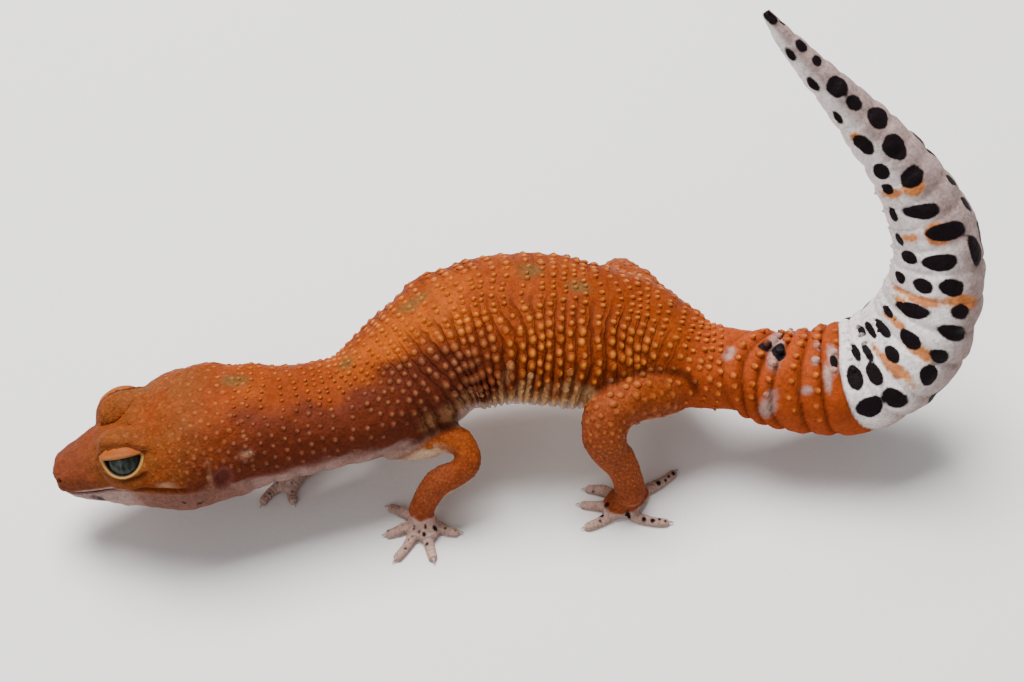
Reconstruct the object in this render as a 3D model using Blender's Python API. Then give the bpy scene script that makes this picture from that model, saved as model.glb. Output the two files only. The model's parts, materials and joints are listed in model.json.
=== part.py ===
"""Leopard gecko at life size, stalking: head low, back arched, tail curled up over its base.

The body is one tube worked out along the spine, from the snout to the tip of the tail, and
parted by thin cuts into head, neck, trunk and tail. Four legs of three nodes each stand on it,
and every foot is cut flat at the floor. Lengths are in millimetres until a mesh is made.
The animal faces -X, and its left side is on -Y.
"""

import bmesh
import bpy
import numpy as np
from mathutils import Matrix, Vector

for old in list(bpy.data.objects):
    bpy.data.objects.remove(old, do_unlink=True)

MM = 0.001
CUT = 0.3                 # clear gap between neighbouring nodes
ROUND_BODY = 24           # points round the body tube
ROUND_LIMB = 12           # points round a leg
ROUND_TOE = 7             # points round a toe

# Spine, from the snout to the tip of the tail: x, y, z.
SPINE = np.array([
    (-72.3, -18.8, 12.6),   # snout
    (-62.3, -16.6, 14.2),   # eyes
    (-51.9, -14.5, 15.7),   # jaw hinge
    (-42.9, -13.3, 16.7),   # nape
    (-33.9, -11.5, 16.9),   # neck
    (-26.4, -9.3, 17.1),    # shoulders
    (-18.7, -4.4, 18.7),
    (-11.0, 0.6, 21.1),     # ribs
    (-1.2, 3.0, 21.9),      # top of the arch
    (9.3, 2.9, 20.6),
    (19.3, 2.6, 18.7),      # loin
    (29.0, -0.2, 16.2),     # hips
    (35.7, -1.1, 15.9),     # tail root
    (41.8, -2.2, 14.9),
    (48.6, -1.9, 14.4),
    (54.2, -1.4, 15.5),     # tail turns up
    (59.2, 0.1, 18.5),
    (63.2, 2.5, 23.8),
    (64.9, 5.6, 30.5),
    (64.4, 8.3, 36.2),
    (61.1, 11.2, 42.4),
    (55.1, 14.5, 49.5),
    (48.3, 17.5, 56.0),
    (42.2, 20.0, 61.4),
    (38.5, 21.7, 65.0),
    (35.4, 23.3, 68.3),     # tip
])
BODY_LENGTH = 205.0           # the distances below are shares of this, snout to tip

# Distance from the snout, half width, height above the spine, depth below it, and how square
# the section is above and below.
GIRTH = np.array([
    (0.0, 0.4, 0.4, 0.4, 2.0, 2.0),
    (0.6, 2.5, 1.5, 2.0, 2.3, 2.3),
    (1.8, 3.8, 2.1, 3.2, 2.5, 2.7),
    (4.0, 4.8, 2.8, 4.1, 2.7, 3.2),
    (7.5, 6.3, 3.7, 4.8, 2.9, 3.7),
    (12.5, 8.9, 5.4, 5.6, 3.0, 4.0),       # eyes
    (17.0, 10.8, 7.6, 6.3, 2.9, 3.8),
    (21.5, 11.9, 8.9, 6.9, 2.7, 3.4),      # cheeks
    (26.0, 11.7, 9.1, 7.2, 2.5, 2.8),
    (31.0, 10.6, 8.4, 7.3, 2.4, 2.5),      # nape
    (38.0, 9.6, 7.4, 7.4, 2.3, 2.3),       # neck
    (46.0, 9.4, 6.5, 8.4, 2.3, 2.3),       # shoulders
    (55.5, 11.0, 8.0, 10.3, 2.2, 2.2),
    (66.5, 12.6, 9.6, 10.6, 2.2, 2.2),     # ribs
    (77.0, 13.0, 10.1, 10.5, 2.2, 2.2),
    (87.0, 12.8, 9.9, 10.2, 2.2, 2.2),
    (96.0, 11.0, 8.5, 9.2, 2.2, 2.2),
    (104.5, 8.5, 7.0, 7.5, 2.1, 2.1),      # hips
    (111.5, 7.0, 6.4, 6.5, 2.0, 2.0),      # tail root
    (118.0, 8.0, 7.4, 7.4, 2.0, 2.0),
    (126.0, 9.1, 7.9, 8.4, 2.0, 2.0),
    (133.5, 10.1, 7.3, 9.3, 2.0, 2.0),     # widest of the tail
    (141.5, 9.8, 7.2, 9.2, 2.0, 2.0),
    (150.5, 8.4, 7.3, 7.9, 2.0, 2.0),
    (159.0, 7.0, 6.8, 6.8, 2.0, 2.0),
    (169.0, 5.5, 5.5, 5.5, 2.0, 2.0),
    (178.5, 4.2, 4.2, 4.2, 2.0, 2.0),
    (187.0, 3.1, 3.1, 3.1, 2.0, 2.0),
    (195.5, 2.15, 2.15, 2.15, 2.0, 2.0),
    (201.0, 1.35, 1.35, 1.35, 2.0, 2.0),
    (203.8, 0.85, 0.85, 0.85, 2.0, 2.0),
    (205.0, 0.4, 0.4, 0.4, 2.0, 2.0),
])

# Lengths of the body between cuts, and the number of rings in each.
HEAD = ("head", 0.0, 29.5, 22)
LENGTHS = (
    ("neck", 29.5, 42.5, 6),
    ("trunk_front", 42.5, 73.0, 11),
    ("trunk_rear", 73.0, 106.0, 12),
    ("tail_base", 106.0, 128.0, 9),
    ("tail_middle", 128.0, 163.5, 12),
    ("tail_end", 163.5, 205.0, 13),
)

# Roll of the head about the spine, positive lifts the left side, dying out down the neck.
HEAD_ROLL = 6.0
ROLL_ENDS = 48.0

# Upper half of the head: how far it leans in, and where that has died out.
HEAD_LEAN = 0.30
LEAN_ENDS = 33.0
LEAN_FADE = 14.0

# Eyes: distance back from the snout, out from the middle, up, radii of the ball and its lids.
EYE_BACK = 12.9
EYE_OUT = 5.1
EYE_UP = 3.4
EYE_RADIUS = 3.4
LID_RADIUS = 4.4
LID_BLEND = 0.9               # length over which a lid's dome runs into the head
EYE_LIFT = 33.0               # the eye looks this many degrees up, and this many forward
EYE_FORWARD = 4.0
OPENING = (2.8, 1.5)          # half length and half height of the opening between the lids

# Mouth: distance back from the snout, height of the lips' edge, and how far the middle of the
# mouth lies below the edge, as far back as the corner.
MOUTH = ((-4.0, -1.7, 0.3), (3.0, -1.6, 0.6), (6.5, -1.0, 1.8), (10.0, 0.3, 3.2),
         (14.0, 1.2, 3.8), (19.5, 1.4, 3.8))

# Legs: root inside the body, joint, ankle, middle of the sole, then the half widths at the
# root, above the joint, at the joint, below it and at the ankle, and how far the middle of the
# lower length is bowed.
LEGS = {
    "left_fore": ((-22.4, -11.8, 12.4), (-4.9, -15.1, 15.6), (-15.5, -20.4, 4.2),
                  (-15.1, -21.0, 1.4), (4.1, 3.2, 2.3, 2.5, 2.05), (-1.4, 0.1, 0.5)),
    "right_fore": ((-25.9, -4.3, 15.0), (-29.7, 4.8, 10.8), (-36.8, -10.0, 4.2),
                   (-37.5, -11.7, 1.4), (3.9, 3.4, 3.0, 2.9, 2.25), (0.0, 0.0, 0.0)),
    "left_hind": ((29.0, -1.1, 16.0), (11.1, -12.5, 19.6), (17.6, -17.1, 4.9),
                  (17.2, -16.3, 1.5), (5.6, 4.9, 4.3, 3.15, 2.5), (0.6, 0.0, 0.2)),
    "right_hind": ((29.0, 2.7, 15.5), (14.4, 19.9, 16.9), (24.0, 22.1, 4.9),
                   (24.0, 22.5, 1.5), (5.4, 5.2, 4.5, 3.7, 2.7), (0.0, 0.0, 0.0)),
}
BEND = 1.1                # radius of a leg's bend, as a share of its half width there
SEGMENTS = {"fore": ("upper_arm", "forearm", "hand"), "hind": ("thigh", "shank", "foot")}

# Toes of each foot: root, x and y from the middle of the sole, then the heading at the root and
# at the tip, in degrees from +X towards +Y, and the length.
TOES = {
    "left_fore": ((-2.7, 2.4, 150, 162, 4.6), (-3.0, 0.0, 215, 185, 4.4), (-1.6, -1.1, 251, 226, 6.6),
                  (0.3, -1.1, 280, 290, 6.1), (2.2, 0.2, 318, 374, 4.5)),
    "right_fore": ((2.2, 1.0, 44, 26, 4.4), (0.8, 2.0, 80, 70, 5.0), (-1.5, 1.2, 140, 160, 5.4),
                   (-1.1, -1.2, 208, 258, 5.7), (0.5, -1.0, 263, 301, 4.6)),
    "left_hind": ((-3.2, 2.2, 162, 182, 4.2), (-2.6, -0.8, 176, 170, 5.8), (-2.2, -2.1, 224, 192, 6.2),
                  (0.6, -2.2, 328, 368, 7.4), (3.6, 2.6, 26, 50, 7.0)),
    "right_hind": ((-3.2, -2.2, 198, 178, 4.2), (-2.6, 0.8, 184, 190, 5.8), (-2.2, 2.1, 136, 160, 6.2),
                   (0.4, 2.4, 38, -6, 6.6), (3.6, -2.6, 338, 312, 7.0)),
}
# Palms: heading of the long axis, its half length, half width and half height.
PALMS = {"left_fore": (110, 2.9, 2.4, 1.6), "right_fore": (70, 2.9, 2.4, 1.6),
         "left_hind": (32, 4.2, 2.7, 1.8), "right_hind": (-32, 4.2, 2.7, 1.8)}
TOE_ROOT, TOE_PAD, CLAW = 0.9, 0.7, 0.28           # half widths along a toe
CLAW_LENGTH = 1.0
SOLE_SINK = 0.16                                   # how far a toe is pressed below the floor

SKIN_ORANGE = (0.60, 0.16, 0.025, 1.0)
SKIN_WHITE = (0.70, 0.62, 0.60, 1.0)
SKIN_PINK = (0.62, 0.44, 0.40, 1.0)
EYE_DARK = (0.03, 0.035, 0.03, 1.0)


def smooth(x, knots, values):
    """Cubic Hermite curve through the values at the knots, with slopes from the neighbours."""
    slope = np.gradient(values, knots, axis=0)
    i = np.clip(np.searchsorted(knots, x, side="right") - 1, 0, len(knots) - 2)
    step = knots[i + 1] - knots[i]
    t = (x - knots[i]) / step
    shape = (-1,) + (1,) * (np.ndim(values) - 1)
    t, step = t.reshape(shape), step.reshape(shape)
    return ((2 * t**3 - 3 * t**2 + 1) * values[i] + (t**3 - 2 * t**2 + t) * step * slope[i]
            + (3 * t**2 - 2 * t**3) * values[i + 1] + (t**3 - t**2) * step * slope[i + 1])


def path(points, lengths):
    """Points and unit tangents at these distances along a smooth curve through the points."""
    knots = np.concatenate([[0.0], np.cumsum(np.linalg.norm(np.diff(points, axis=0), axis=1))])
    fine = np.linspace(0.0, knots[-1], 1200)
    curve = smooth(fine, knots, points)
    run = np.concatenate([[0.0], np.cumsum(np.linalg.norm(np.diff(curve, axis=0), axis=1))])
    at = np.interp(lengths, run, fine)
    reach = 0.4
    ahead = smooth(np.clip(at + reach, 0, knots[-1]), knots, points)
    behind = smooth(np.clip(at - reach, 0, knots[-1]), knots, points)
    tangent = ahead - behind
    return smooth(at, knots, points), tangent / np.linalg.norm(tangent, axis=1, keepdims=True)


def path_length(points):
    """Length of the smooth curve through the points."""
    knots = np.concatenate([[0.0], np.cumsum(np.linalg.norm(np.diff(points, axis=0), axis=1))])
    curve = smooth(np.linspace(0.0, knots[-1], 1200), knots, points)
    return float(np.linalg.norm(np.diff(curve, axis=0), axis=1).sum())


def frames(distance):
    """Centre, left and up directions of the body's sections at these distances from the snout."""
    centre, back = path(SPINE, distance * path_length(SPINE) / BODY_LENGTH)
    left = np.array([0.0, -1.0, 0.0]) + back * back[:, 1:2]
    left /= np.linalg.norm(left, axis=1, keepdims=True)
    up = np.cross(left, back)
    roll = np.radians(HEAD_ROLL) * (0.5 + 0.5 * np.cos(np.pi * np.clip(distance / ROLL_ENDS, 0, 1)))
    turn, lift = np.cos(roll)[:, None], np.sin(roll)[:, None]
    return centre, left * turn + up * lift, up * turn - left * lift


def section(distance, around, grow=0.0):
    """Offsets to the left and up of body points, for matching arrays of distance and angle.

    A ray from the spine meets an oval of its own width, height, depth and squareness. On the
    head the upper half leans in, and the lids of the two eyes stand out as domes: the ray is
    carried on to the dome, and the two lengths are blended so that no crease is left.
    """
    girth = smooth(distance.ravel(), GIRTH[:, 0], GIRTH[:, 1:]).T
    width, above, below, upper, lower = (v.reshape(distance.shape) for v in girth)
    side, rise = np.cos(around), np.sin(around)
    lean = HEAD_LEAN * np.clip((LEAN_ENDS - distance) / LEAN_FADE, 0.0, 1.0)
    width = (width + grow) * (1.0 - lean * np.clip(rise, 0.0, None) ** 2)
    height = np.where(rise > 0, above, below) + grow
    square = np.where(rise > 0, upper, lower)
    length = (np.abs(side / width) ** square + np.abs(rise / height) ** square) ** (-1.0 / square)
    for eye_out in (EYE_OUT, -EYE_OUT):
        toward = eye_out * side + EYE_UP * rise
        gap = eye_out**2 + EYE_UP**2 + (distance - EYE_BACK) ** 2 - (LID_RADIUS + grow) ** 2
        inside = np.clip(toward**2 - gap, 0.0, None)
        dome = np.where((inside > 0) & (toward > 0), toward + np.sqrt(inside), 0.0)
        mix = np.clip(0.5 + 0.5 * (dome - length) / LID_BLEND, 0.0, 1.0)
        length = length + mix * (dome - length) + LID_BLEND * mix * (1.0 - mix)
    return length * side, length * rise


def body_points(distances, grow=0.0, count=ROUND_BODY):
    """Grid of body points in millimetres, one row for each distance from the snout."""
    around = np.linspace(0.0, 2 * np.pi, count, endpoint=False)
    distance, angle = np.meshgrid(distances, around, indexing="ij")
    left, up = section(distance, angle, grow)
    centre, left_way, up_way = frames(distances)
    return centre[:, None] + left[..., None] * left_way[:, None] + up[..., None] * up_way[:, None]


def tube_mesh(name, rings, split=False):
    """Closed mesh of a grid of rings, capped at both ends, with its faces pointing out.

    With split, each quad is made two triangles, always along the same diagonal.
    """
    rows, count = rings.shape[:2]
    shape = bmesh.new()
    loops = [[shape.verts.new(Vector(p) * MM) for p in ring] for ring in rings]
    for near, far in zip(loops, loops[1:]):
        for i in range(count):
            j = (i + 1) % count
            shape.faces.new((near[i], near[j], far[j], far[i]))
    shape.faces.new(loops[0])
    shape.faces.new(loops[-1])
    bmesh.ops.recalc_face_normals(shape, faces=shape.faces)
    bmesh.ops.triangulate(shape, faces=[f for f in shape.faces if split or len(f.verts) > 4],
                          quad_method="FIXED")
    mesh = bpy.data.meshes.new(name)
    shape.to_mesh(mesh)
    shape.free()
    return mesh


def material(name, colour, roughness):
    made = bpy.data.materials.new(name)
    made.use_nodes = True
    shader = made.node_tree.nodes["Principled BSDF"]
    shader.inputs["Base Color"].default_value = colour
    shader.inputs["Roughness"].default_value = roughness
    shader.inputs["Metallic"].default_value = 0.0
    return made


def place(name, mesh, collection, finish=None):
    """New object of this mesh in a collection. One with no finish is a cutter."""
    thing = bpy.data.objects.new(name, mesh)
    collection.objects.link(thing)
    if finish is None:
        thing.hide_render = True
        thing.display_type = "WIRE"
    else:
        mesh.materials.append(finish)
        mesh.shade_smooth()
    return thing


def boolean(thing, operation, other):
    """Adds a Boolean with another object, or with every object of a collection."""
    cut = thing.modifiers.new(operation.title(), "BOOLEAN")
    cut.operation = operation
    cut.solver = "EXACT"
    if isinstance(other, bpy.types.Collection):
        cut.operand_type = "COLLECTION"
        cut.collection = other
    else:
        cut.object = other


def applied(thing):
    """Replaces an object's mesh by its evaluated one, and clears its modifiers."""
    graph = bpy.context.evaluated_depsgraph_get()
    mesh = bpy.data.meshes.new_from_object(thing.evaluated_get(graph))
    mesh.name = thing.name
    thing.modifiers.clear()
    thing.data = mesh


def spaced(start, end, count, ease=0.0):
    """Distances from start to end, with ease over 0 closer together at the start."""
    t = np.linspace(0.0, 1.0, count)
    return start + (end - start) * (t + ease * (t**2 - t))


def cut_flat(thing, level=0.0):
    """Cuts a closed mesh off at the floor, and closes the sole."""
    shape = bmesh.new()
    shape.from_mesh(thing.data)
    everything = shape.verts[:] + shape.edges[:] + shape.faces[:]
    cut = bmesh.ops.bisect_plane(shape, geom=everything, dist=1e-7, plane_co=(0, 0, level),
                                 plane_no=(0, 0, 1), clear_inner=True)
    rim = [e for e in cut["geom_cut"] if isinstance(e, bmesh.types.BMEdge)]
    bmesh.ops.holes_fill(shape, edges=rim, sides=0)
    bmesh.ops.triangulate(shape, faces=[f for f in shape.faces if len(f.verts) > 4])
    bmesh.ops.recalc_face_normals(shape, faces=shape.faces)
    shape.to_mesh(thing.data)
    shape.free()


parts = bpy.data.collections.new("leopard_gecko")
cutters = bpy.data.collections.new("cutters")
for group in (parts, cutters):
    bpy.context.scene.collection.children.link(group)
cutters.hide_render = True

orange = material("orange_skin", SKIN_ORANGE, 0.55)
white = material("white_skin", SKIN_WHITE, 0.55)
pink = material("pink_skin", SKIN_PINK, 0.6)
dark = material("eye", EYE_DARK, 0.08)


def mouth_block(name, grow):
    """Block that holds the lower jaw: all below the mouth, as far back as its corner."""
    reach = 16.0
    distance, edge, drop = np.array(MOUTH).T
    out = 2.0 * np.interp(distance, GIRTH[:, 0], GIRTH[:, 1])
    distance[-1] += grow
    distance = np.append(distance, [distance[-1] + 2.5, distance[0]])
    drop = np.append(drop, [0.0, 0.0])
    edge = np.append(edge + grow, [-reach, -reach])
    out = np.append(out, [24.0, 24.0])[:, None]
    centre, left_way, up_way = frames(np.clip(distance, 0.0, None))
    forward = np.cross(left_way, up_way)
    centre = centre + forward * np.clip(-distance, 0.0, None)[:, None]
    middle = centre + up_way * (edge - drop)[:, None]
    side = centre + up_way * (edge + drop)[:, None]
    rings = np.stack([side - left_way * out, middle, side + left_way * out])
    return tube_mesh(name, rings, split=True)


def build_head():
    """Head and lower jaw, parted along the mouth, with a ball in each eye socket."""
    _, start, end, count = HEAD
    rings = body_points(spaced(start, end - CUT / 2, count, ease=0.75))
    skull = place("head", tube_mesh("head", rings), parts, orange)
    jaw = place("lower_jaw", tube_mesh("lower_jaw", rings), parts, orange)
    lower = place("jaw_block", mouth_block("jaw_block", 0.0), cutters)
    wider = place("jaw_block_wide", mouth_block("jaw_block_wide", CUT), cutters)
    boolean(jaw, "INTERSECT", lower)
    boolean(skull, "DIFFERENCE", wider)
    for name, side in (("left_eye", 1), ("right_eye", -1)):
        build_eye(name, side, skull)


def build_eye(name, side, skull):
    """Ball of an eye, with its socket and the opening between the lids cut from the head."""
    centre, left_way, up_way = (v[0] for v in frames(np.array([EYE_BACK])))
    lift, turn = np.radians(EYE_LIFT), np.radians(EYE_FORWARD)
    forward = Vector(np.cross(left_way, up_way))
    level = Vector(left_way * side) * np.cos(turn) + forward * np.sin(turn)
    look = (level * np.cos(lift) + Vector(up_way) * np.sin(lift)).normalized()
    long_way = (forward - look * forward.dot(look)).normalized()
    turned = Matrix((long_way, look.cross(long_way), look)).transposed().to_4x4()
    middle = Vector(centre + left_way * EYE_OUT * side + up_way * EYE_UP) * MM
    pose = Matrix.Translation(middle) @ turned
    for ball, grow, group, finish in ((name, 0.0, parts, dark),
                                      (name + "_socket", CUT, cutters, None)):
        shape = bmesh.new()
        bmesh.ops.create_uvsphere(shape, u_segments=14, v_segments=8,
                                  radius=(EYE_RADIUS + grow) * MM)
        mesh = bpy.data.meshes.new(ball)
        shape.to_mesh(mesh)
        shape.free()
        place(ball, mesh, group, finish).matrix_world = pose
    shape = bmesh.new()
    bmesh.ops.create_cone(shape, cap_ends=True, segments=20, radius1=MM, radius2=1.15 * MM,
                          depth=4.0 * MM)
    sized = Matrix.Translation((0, 0, (EYE_RADIUS + 1.0) * MM)) @ Matrix.Diagonal((*OPENING, 1, 1))
    bmesh.ops.transform(shape, matrix=sized, verts=shape.verts)
    mesh = bpy.data.meshes.new(name + "_opening")
    shape.to_mesh(mesh)
    shape.free()
    place(mesh.name, mesh, cutters).matrix_world = pose
    for cutter in (name + "_socket", name + "_opening"):
        boolean(skull, "DIFFERENCE", cutters.objects[cutter])


def build_lengths():
    """Neck, trunk and tail, each a length of the body tube between two thin cuts."""
    for name, start, end, count in LENGTHS:
        last = end == BODY_LENGTH
        rings = body_points(spaced(start + CUT / 2, end - (0.0 if last else CUT / 2), count))
        finish = white if name in ("tail_middle", "tail_end") else orange
        place(name, tube_mesh(name, rings), parts, finish)


def limb_path(root, joint, ankle, sole, bow, bend_radius):
    """Route of a leg with a round bend at the joint, and the distances of its joint and ankle."""
    root, joint, ankle, sole = (np.array(p) for p in (root, joint, ankle, sole))
    upper_way, lower_way = (v / np.linalg.norm(v) for v in (root - joint, ankle - joint))
    half = 0.5 * np.arccos(np.clip(upper_way @ lower_way, -1.0, 1.0))
    inward = (upper_way + lower_way) / np.linalg.norm(upper_way + lower_way)
    hub = joint + inward * bend_radius / np.sin(half)
    across = np.cross(np.cross(inward, upper_way), inward)
    across /= np.linalg.norm(across)
    turn = np.linspace(0.5 * np.pi - half, half - 0.5 * np.pi, 5)[:, None]
    bend = hub + bend_radius * (np.sin(turn) * across - np.cos(turn) * inward)
    points = np.vstack([root, 0.5 * (root + bend[0]), bend, 0.5 * (bend[-1] + ankle) + bow, ankle, sole])
    run = np.linspace(0.0, path_length(points), 400)
    route, _ = path(points, run)
    nearest = [run[np.argmin(np.linalg.norm(route - p, axis=1))] for p in (bend[2], ankle)]
    return points, nearest[0], nearest[1], run[-1]


def limb_rings(points, distances, stations, widths, normal):
    """Rings round a leg: half widths smooth between stations, flattened a little across."""
    centre, along = path(points, distances)
    across = normal - along * (along @ normal)[:, None]
    across /= np.linalg.norm(across, axis=1, keepdims=True)
    other = np.cross(along, across)
    width = smooth(distances, np.array(stations), np.array(widths))[:, None, None]
    around = np.linspace(0.0, 2 * np.pi, ROUND_LIMB, endpoint=False)[None, :, None]
    return (centre[:, None] + 0.94 * width * np.cos(around) * across[:, None]
            + width * np.sin(around) * other[:, None])


def build_leg(name, upper, lower, foot):
    """One leg in three nodes. The upper one is cut back to clear the trunk."""
    root, joint, ankle, sole, widths, bow = LEGS[name]
    points, at_joint, at_ankle, end = limb_path(root, joint, ankle, sole, bow, widths[2] * BEND)
    normal = np.cross(np.subtract(joint, root), np.subtract(ankle, joint))
    normal /= np.linalg.norm(normal)
    stations = (0.0, at_joint * 0.6, at_joint, at_joint + 0.45 * (at_ankle - at_joint), at_ankle, end)
    widths = widths + (widths[-1] * 0.9,)
    side = name.split("_")[0]

    def rings(start, stop, count):
        return limb_rings(points, spaced(start, stop, count), stations, widths, normal)

    for segment, start, stop, count in ((upper, 0.0, at_joint - CUT / 2, 9),
                                        (lower, at_joint + CUT / 2, at_ankle - CUT / 2, 8)):
        node = f"{side}_{segment}"
        place(node, tube_mesh(node, rings(start, stop, count)), parts, orange)
    boolean(parts.objects[f"{side}_{upper}"], "DIFFERENCE", cutters.objects["body_clearance"])
    build_foot(name, f"{side}_{foot}", rings(at_ankle + CUT / 2, end, 4), sole)


def toe_rings(sole, root_x, root_y, start, finish, length):
    """A toe from inside the palm to its claw. It turns evenly as it goes, and lies on the floor."""
    pad = length - CLAW_LENGTH
    run = np.array([0.0, 0.45 * pad, pad, length - 0.45 * CLAW_LENGTH, length])
    width = np.array([TOE_ROOT, TOE_ROOT, 0.95 * TOE_ROOT, TOE_PAD, 0.42, CLAW])
    middle = 0.5 * (run[1:] + run[:-1])
    turn = np.radians(start + (finish - start) * middle / length)
    steps = np.diff(run)[:, None] * np.column_stack([np.cos(turn), np.sin(turn)])
    root = np.array([root_x, root_y])
    flat = np.vstack([0.35 * root, root, root + np.cumsum(steps, axis=0)]) + np.array(sole[:2])
    way = np.gradient(flat, axis=0)
    way /= np.linalg.norm(way, axis=1, keepdims=True)
    across = np.column_stack([-way[:, 1], way[:, 0], np.zeros(len(flat))])[:, None]
    centre = np.column_stack([flat, width - SOLE_SINK])
    around = np.linspace(0.0, 2 * np.pi, ROUND_TOE, endpoint=False)[None, :, None]
    width = width[:, None, None]
    return centre[:, None] + width * (np.cos(around) * across + np.sin(around) * np.array([0, 0, 1.0]))


def build_foot(leg, node, ankle_rings, sole):
    """Palm, ankle and five clawed toes joined into one solid, cut flat at the floor."""
    foot = place(node, tube_mesh(node, ankle_rings), parts, pink)
    pieces = bpy.data.collections.new(node + "_pieces")
    cutters.children.link(pieces)
    heading, *half = PALMS[leg]
    shape = bmesh.new()
    bmesh.ops.create_uvsphere(shape, u_segments=12, v_segments=6, radius=1.0)
    sized = Matrix.Rotation(np.radians(heading), 4, "Z") @ Matrix.Diagonal((*(Vector(half) * MM), 1.0))
    middle = Matrix.Translation(Vector((sole[0], sole[1], half[2] - 0.35)) * MM)
    bmesh.ops.transform(shape, matrix=middle @ sized, verts=shape.verts)
    palm = bpy.data.meshes.new(node + "_palm")
    shape.to_mesh(palm)
    shape.free()
    place(node + "_palm", palm, pieces)
    for i, row in enumerate(TOES[leg]):
        toe = tube_mesh(f"{node}_toe_{i + 1}", toe_rings(sole, *row))
        place(toe.name, toe, pieces)
    for piece in list(pieces.objects):
        boolean(foot, "UNION", piece)
    applied(foot)
    cut_flat(foot)


clearance = tube_mesh("body_clearance", body_points(spaced(25.0, 127.0, 40), grow=CUT))
place("body_clearance", clearance, cutters)
build_head()
build_lengths()
for leg in LEGS:
    build_leg(leg, *SEGMENTS[leg.split("_")[1]])
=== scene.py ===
"""Looks of a life-size leopard gecko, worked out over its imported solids.

One skin covers the head, trunk, tail and legs, and lies inside the solids by the depth of its
coat of tubercles. The eyes, their lids, the claws and the tubercles are pieces of their own.
Lengths are in millimetres until a mesh is made. The animal faces -X, its left side is on -Y,
and a place on the body is a distance back from the snout and an angle round the spine, which
is 0 at the left side, 90 on the back and 270 under the belly.
"""

import json

import bpy
import numpy as np
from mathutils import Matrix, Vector

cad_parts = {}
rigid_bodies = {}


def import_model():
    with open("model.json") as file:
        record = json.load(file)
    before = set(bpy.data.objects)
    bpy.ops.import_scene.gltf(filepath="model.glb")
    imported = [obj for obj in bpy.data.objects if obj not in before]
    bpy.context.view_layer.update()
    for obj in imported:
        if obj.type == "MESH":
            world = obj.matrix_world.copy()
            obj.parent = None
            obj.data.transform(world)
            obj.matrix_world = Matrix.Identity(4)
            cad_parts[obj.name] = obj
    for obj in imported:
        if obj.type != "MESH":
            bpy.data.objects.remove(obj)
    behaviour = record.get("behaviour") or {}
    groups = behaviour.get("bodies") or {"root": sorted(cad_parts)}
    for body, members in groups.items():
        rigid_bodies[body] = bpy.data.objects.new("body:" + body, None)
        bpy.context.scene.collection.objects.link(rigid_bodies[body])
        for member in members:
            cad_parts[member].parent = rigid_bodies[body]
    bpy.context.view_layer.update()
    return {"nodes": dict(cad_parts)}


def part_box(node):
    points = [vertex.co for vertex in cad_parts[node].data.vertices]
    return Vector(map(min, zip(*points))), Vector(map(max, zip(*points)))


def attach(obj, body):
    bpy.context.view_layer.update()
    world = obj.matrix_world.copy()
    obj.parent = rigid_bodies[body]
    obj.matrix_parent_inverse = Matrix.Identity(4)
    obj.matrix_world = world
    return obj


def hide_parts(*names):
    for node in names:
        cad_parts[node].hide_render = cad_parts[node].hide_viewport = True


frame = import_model()
MM = 0.001
EYES = {side: tuple(0.5 * (low + high) / MM for low, high in zip(*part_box(side + "_eye")))
        for side in ("left", "right")}

# --- Sizes of the body, shared with the solids -------------------------------------------------

# Spine, from the snout to the tip of the tail: x, y, z.
SPINE = np.array([
    (-72.3, -18.8, 12.6), (-62.3, -16.6, 14.2), (-51.9, -14.5, 15.7), (-42.9, -13.3, 16.7),
    (-33.9, -11.5, 16.9), (-26.4, -9.3, 17.1), (-18.7, -4.4, 18.7), (-11.0, 0.6, 21.1),
    (-1.2, 3.0, 21.9), (9.3, 2.9, 20.6), (19.3, 2.6, 18.7), (29.0, -0.2, 16.2),
    (35.7, -1.1, 15.9), (41.8, -2.2, 14.9), (48.6, -1.9, 14.4), (54.2, -1.4, 15.5),
    (59.2, 0.1, 18.5), (63.2, 2.5, 23.8), (64.9, 5.6, 30.5), (64.4, 8.3, 36.2),
    (61.1, 11.2, 42.4), (55.1, 14.5, 49.5), (48.3, 17.5, 56.0), (42.2, 20.0, 61.4),
    (38.5, 21.7, 65.0), (35.4, 23.3, 68.3),
])
BODY_LENGTH = 205.0

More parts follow.
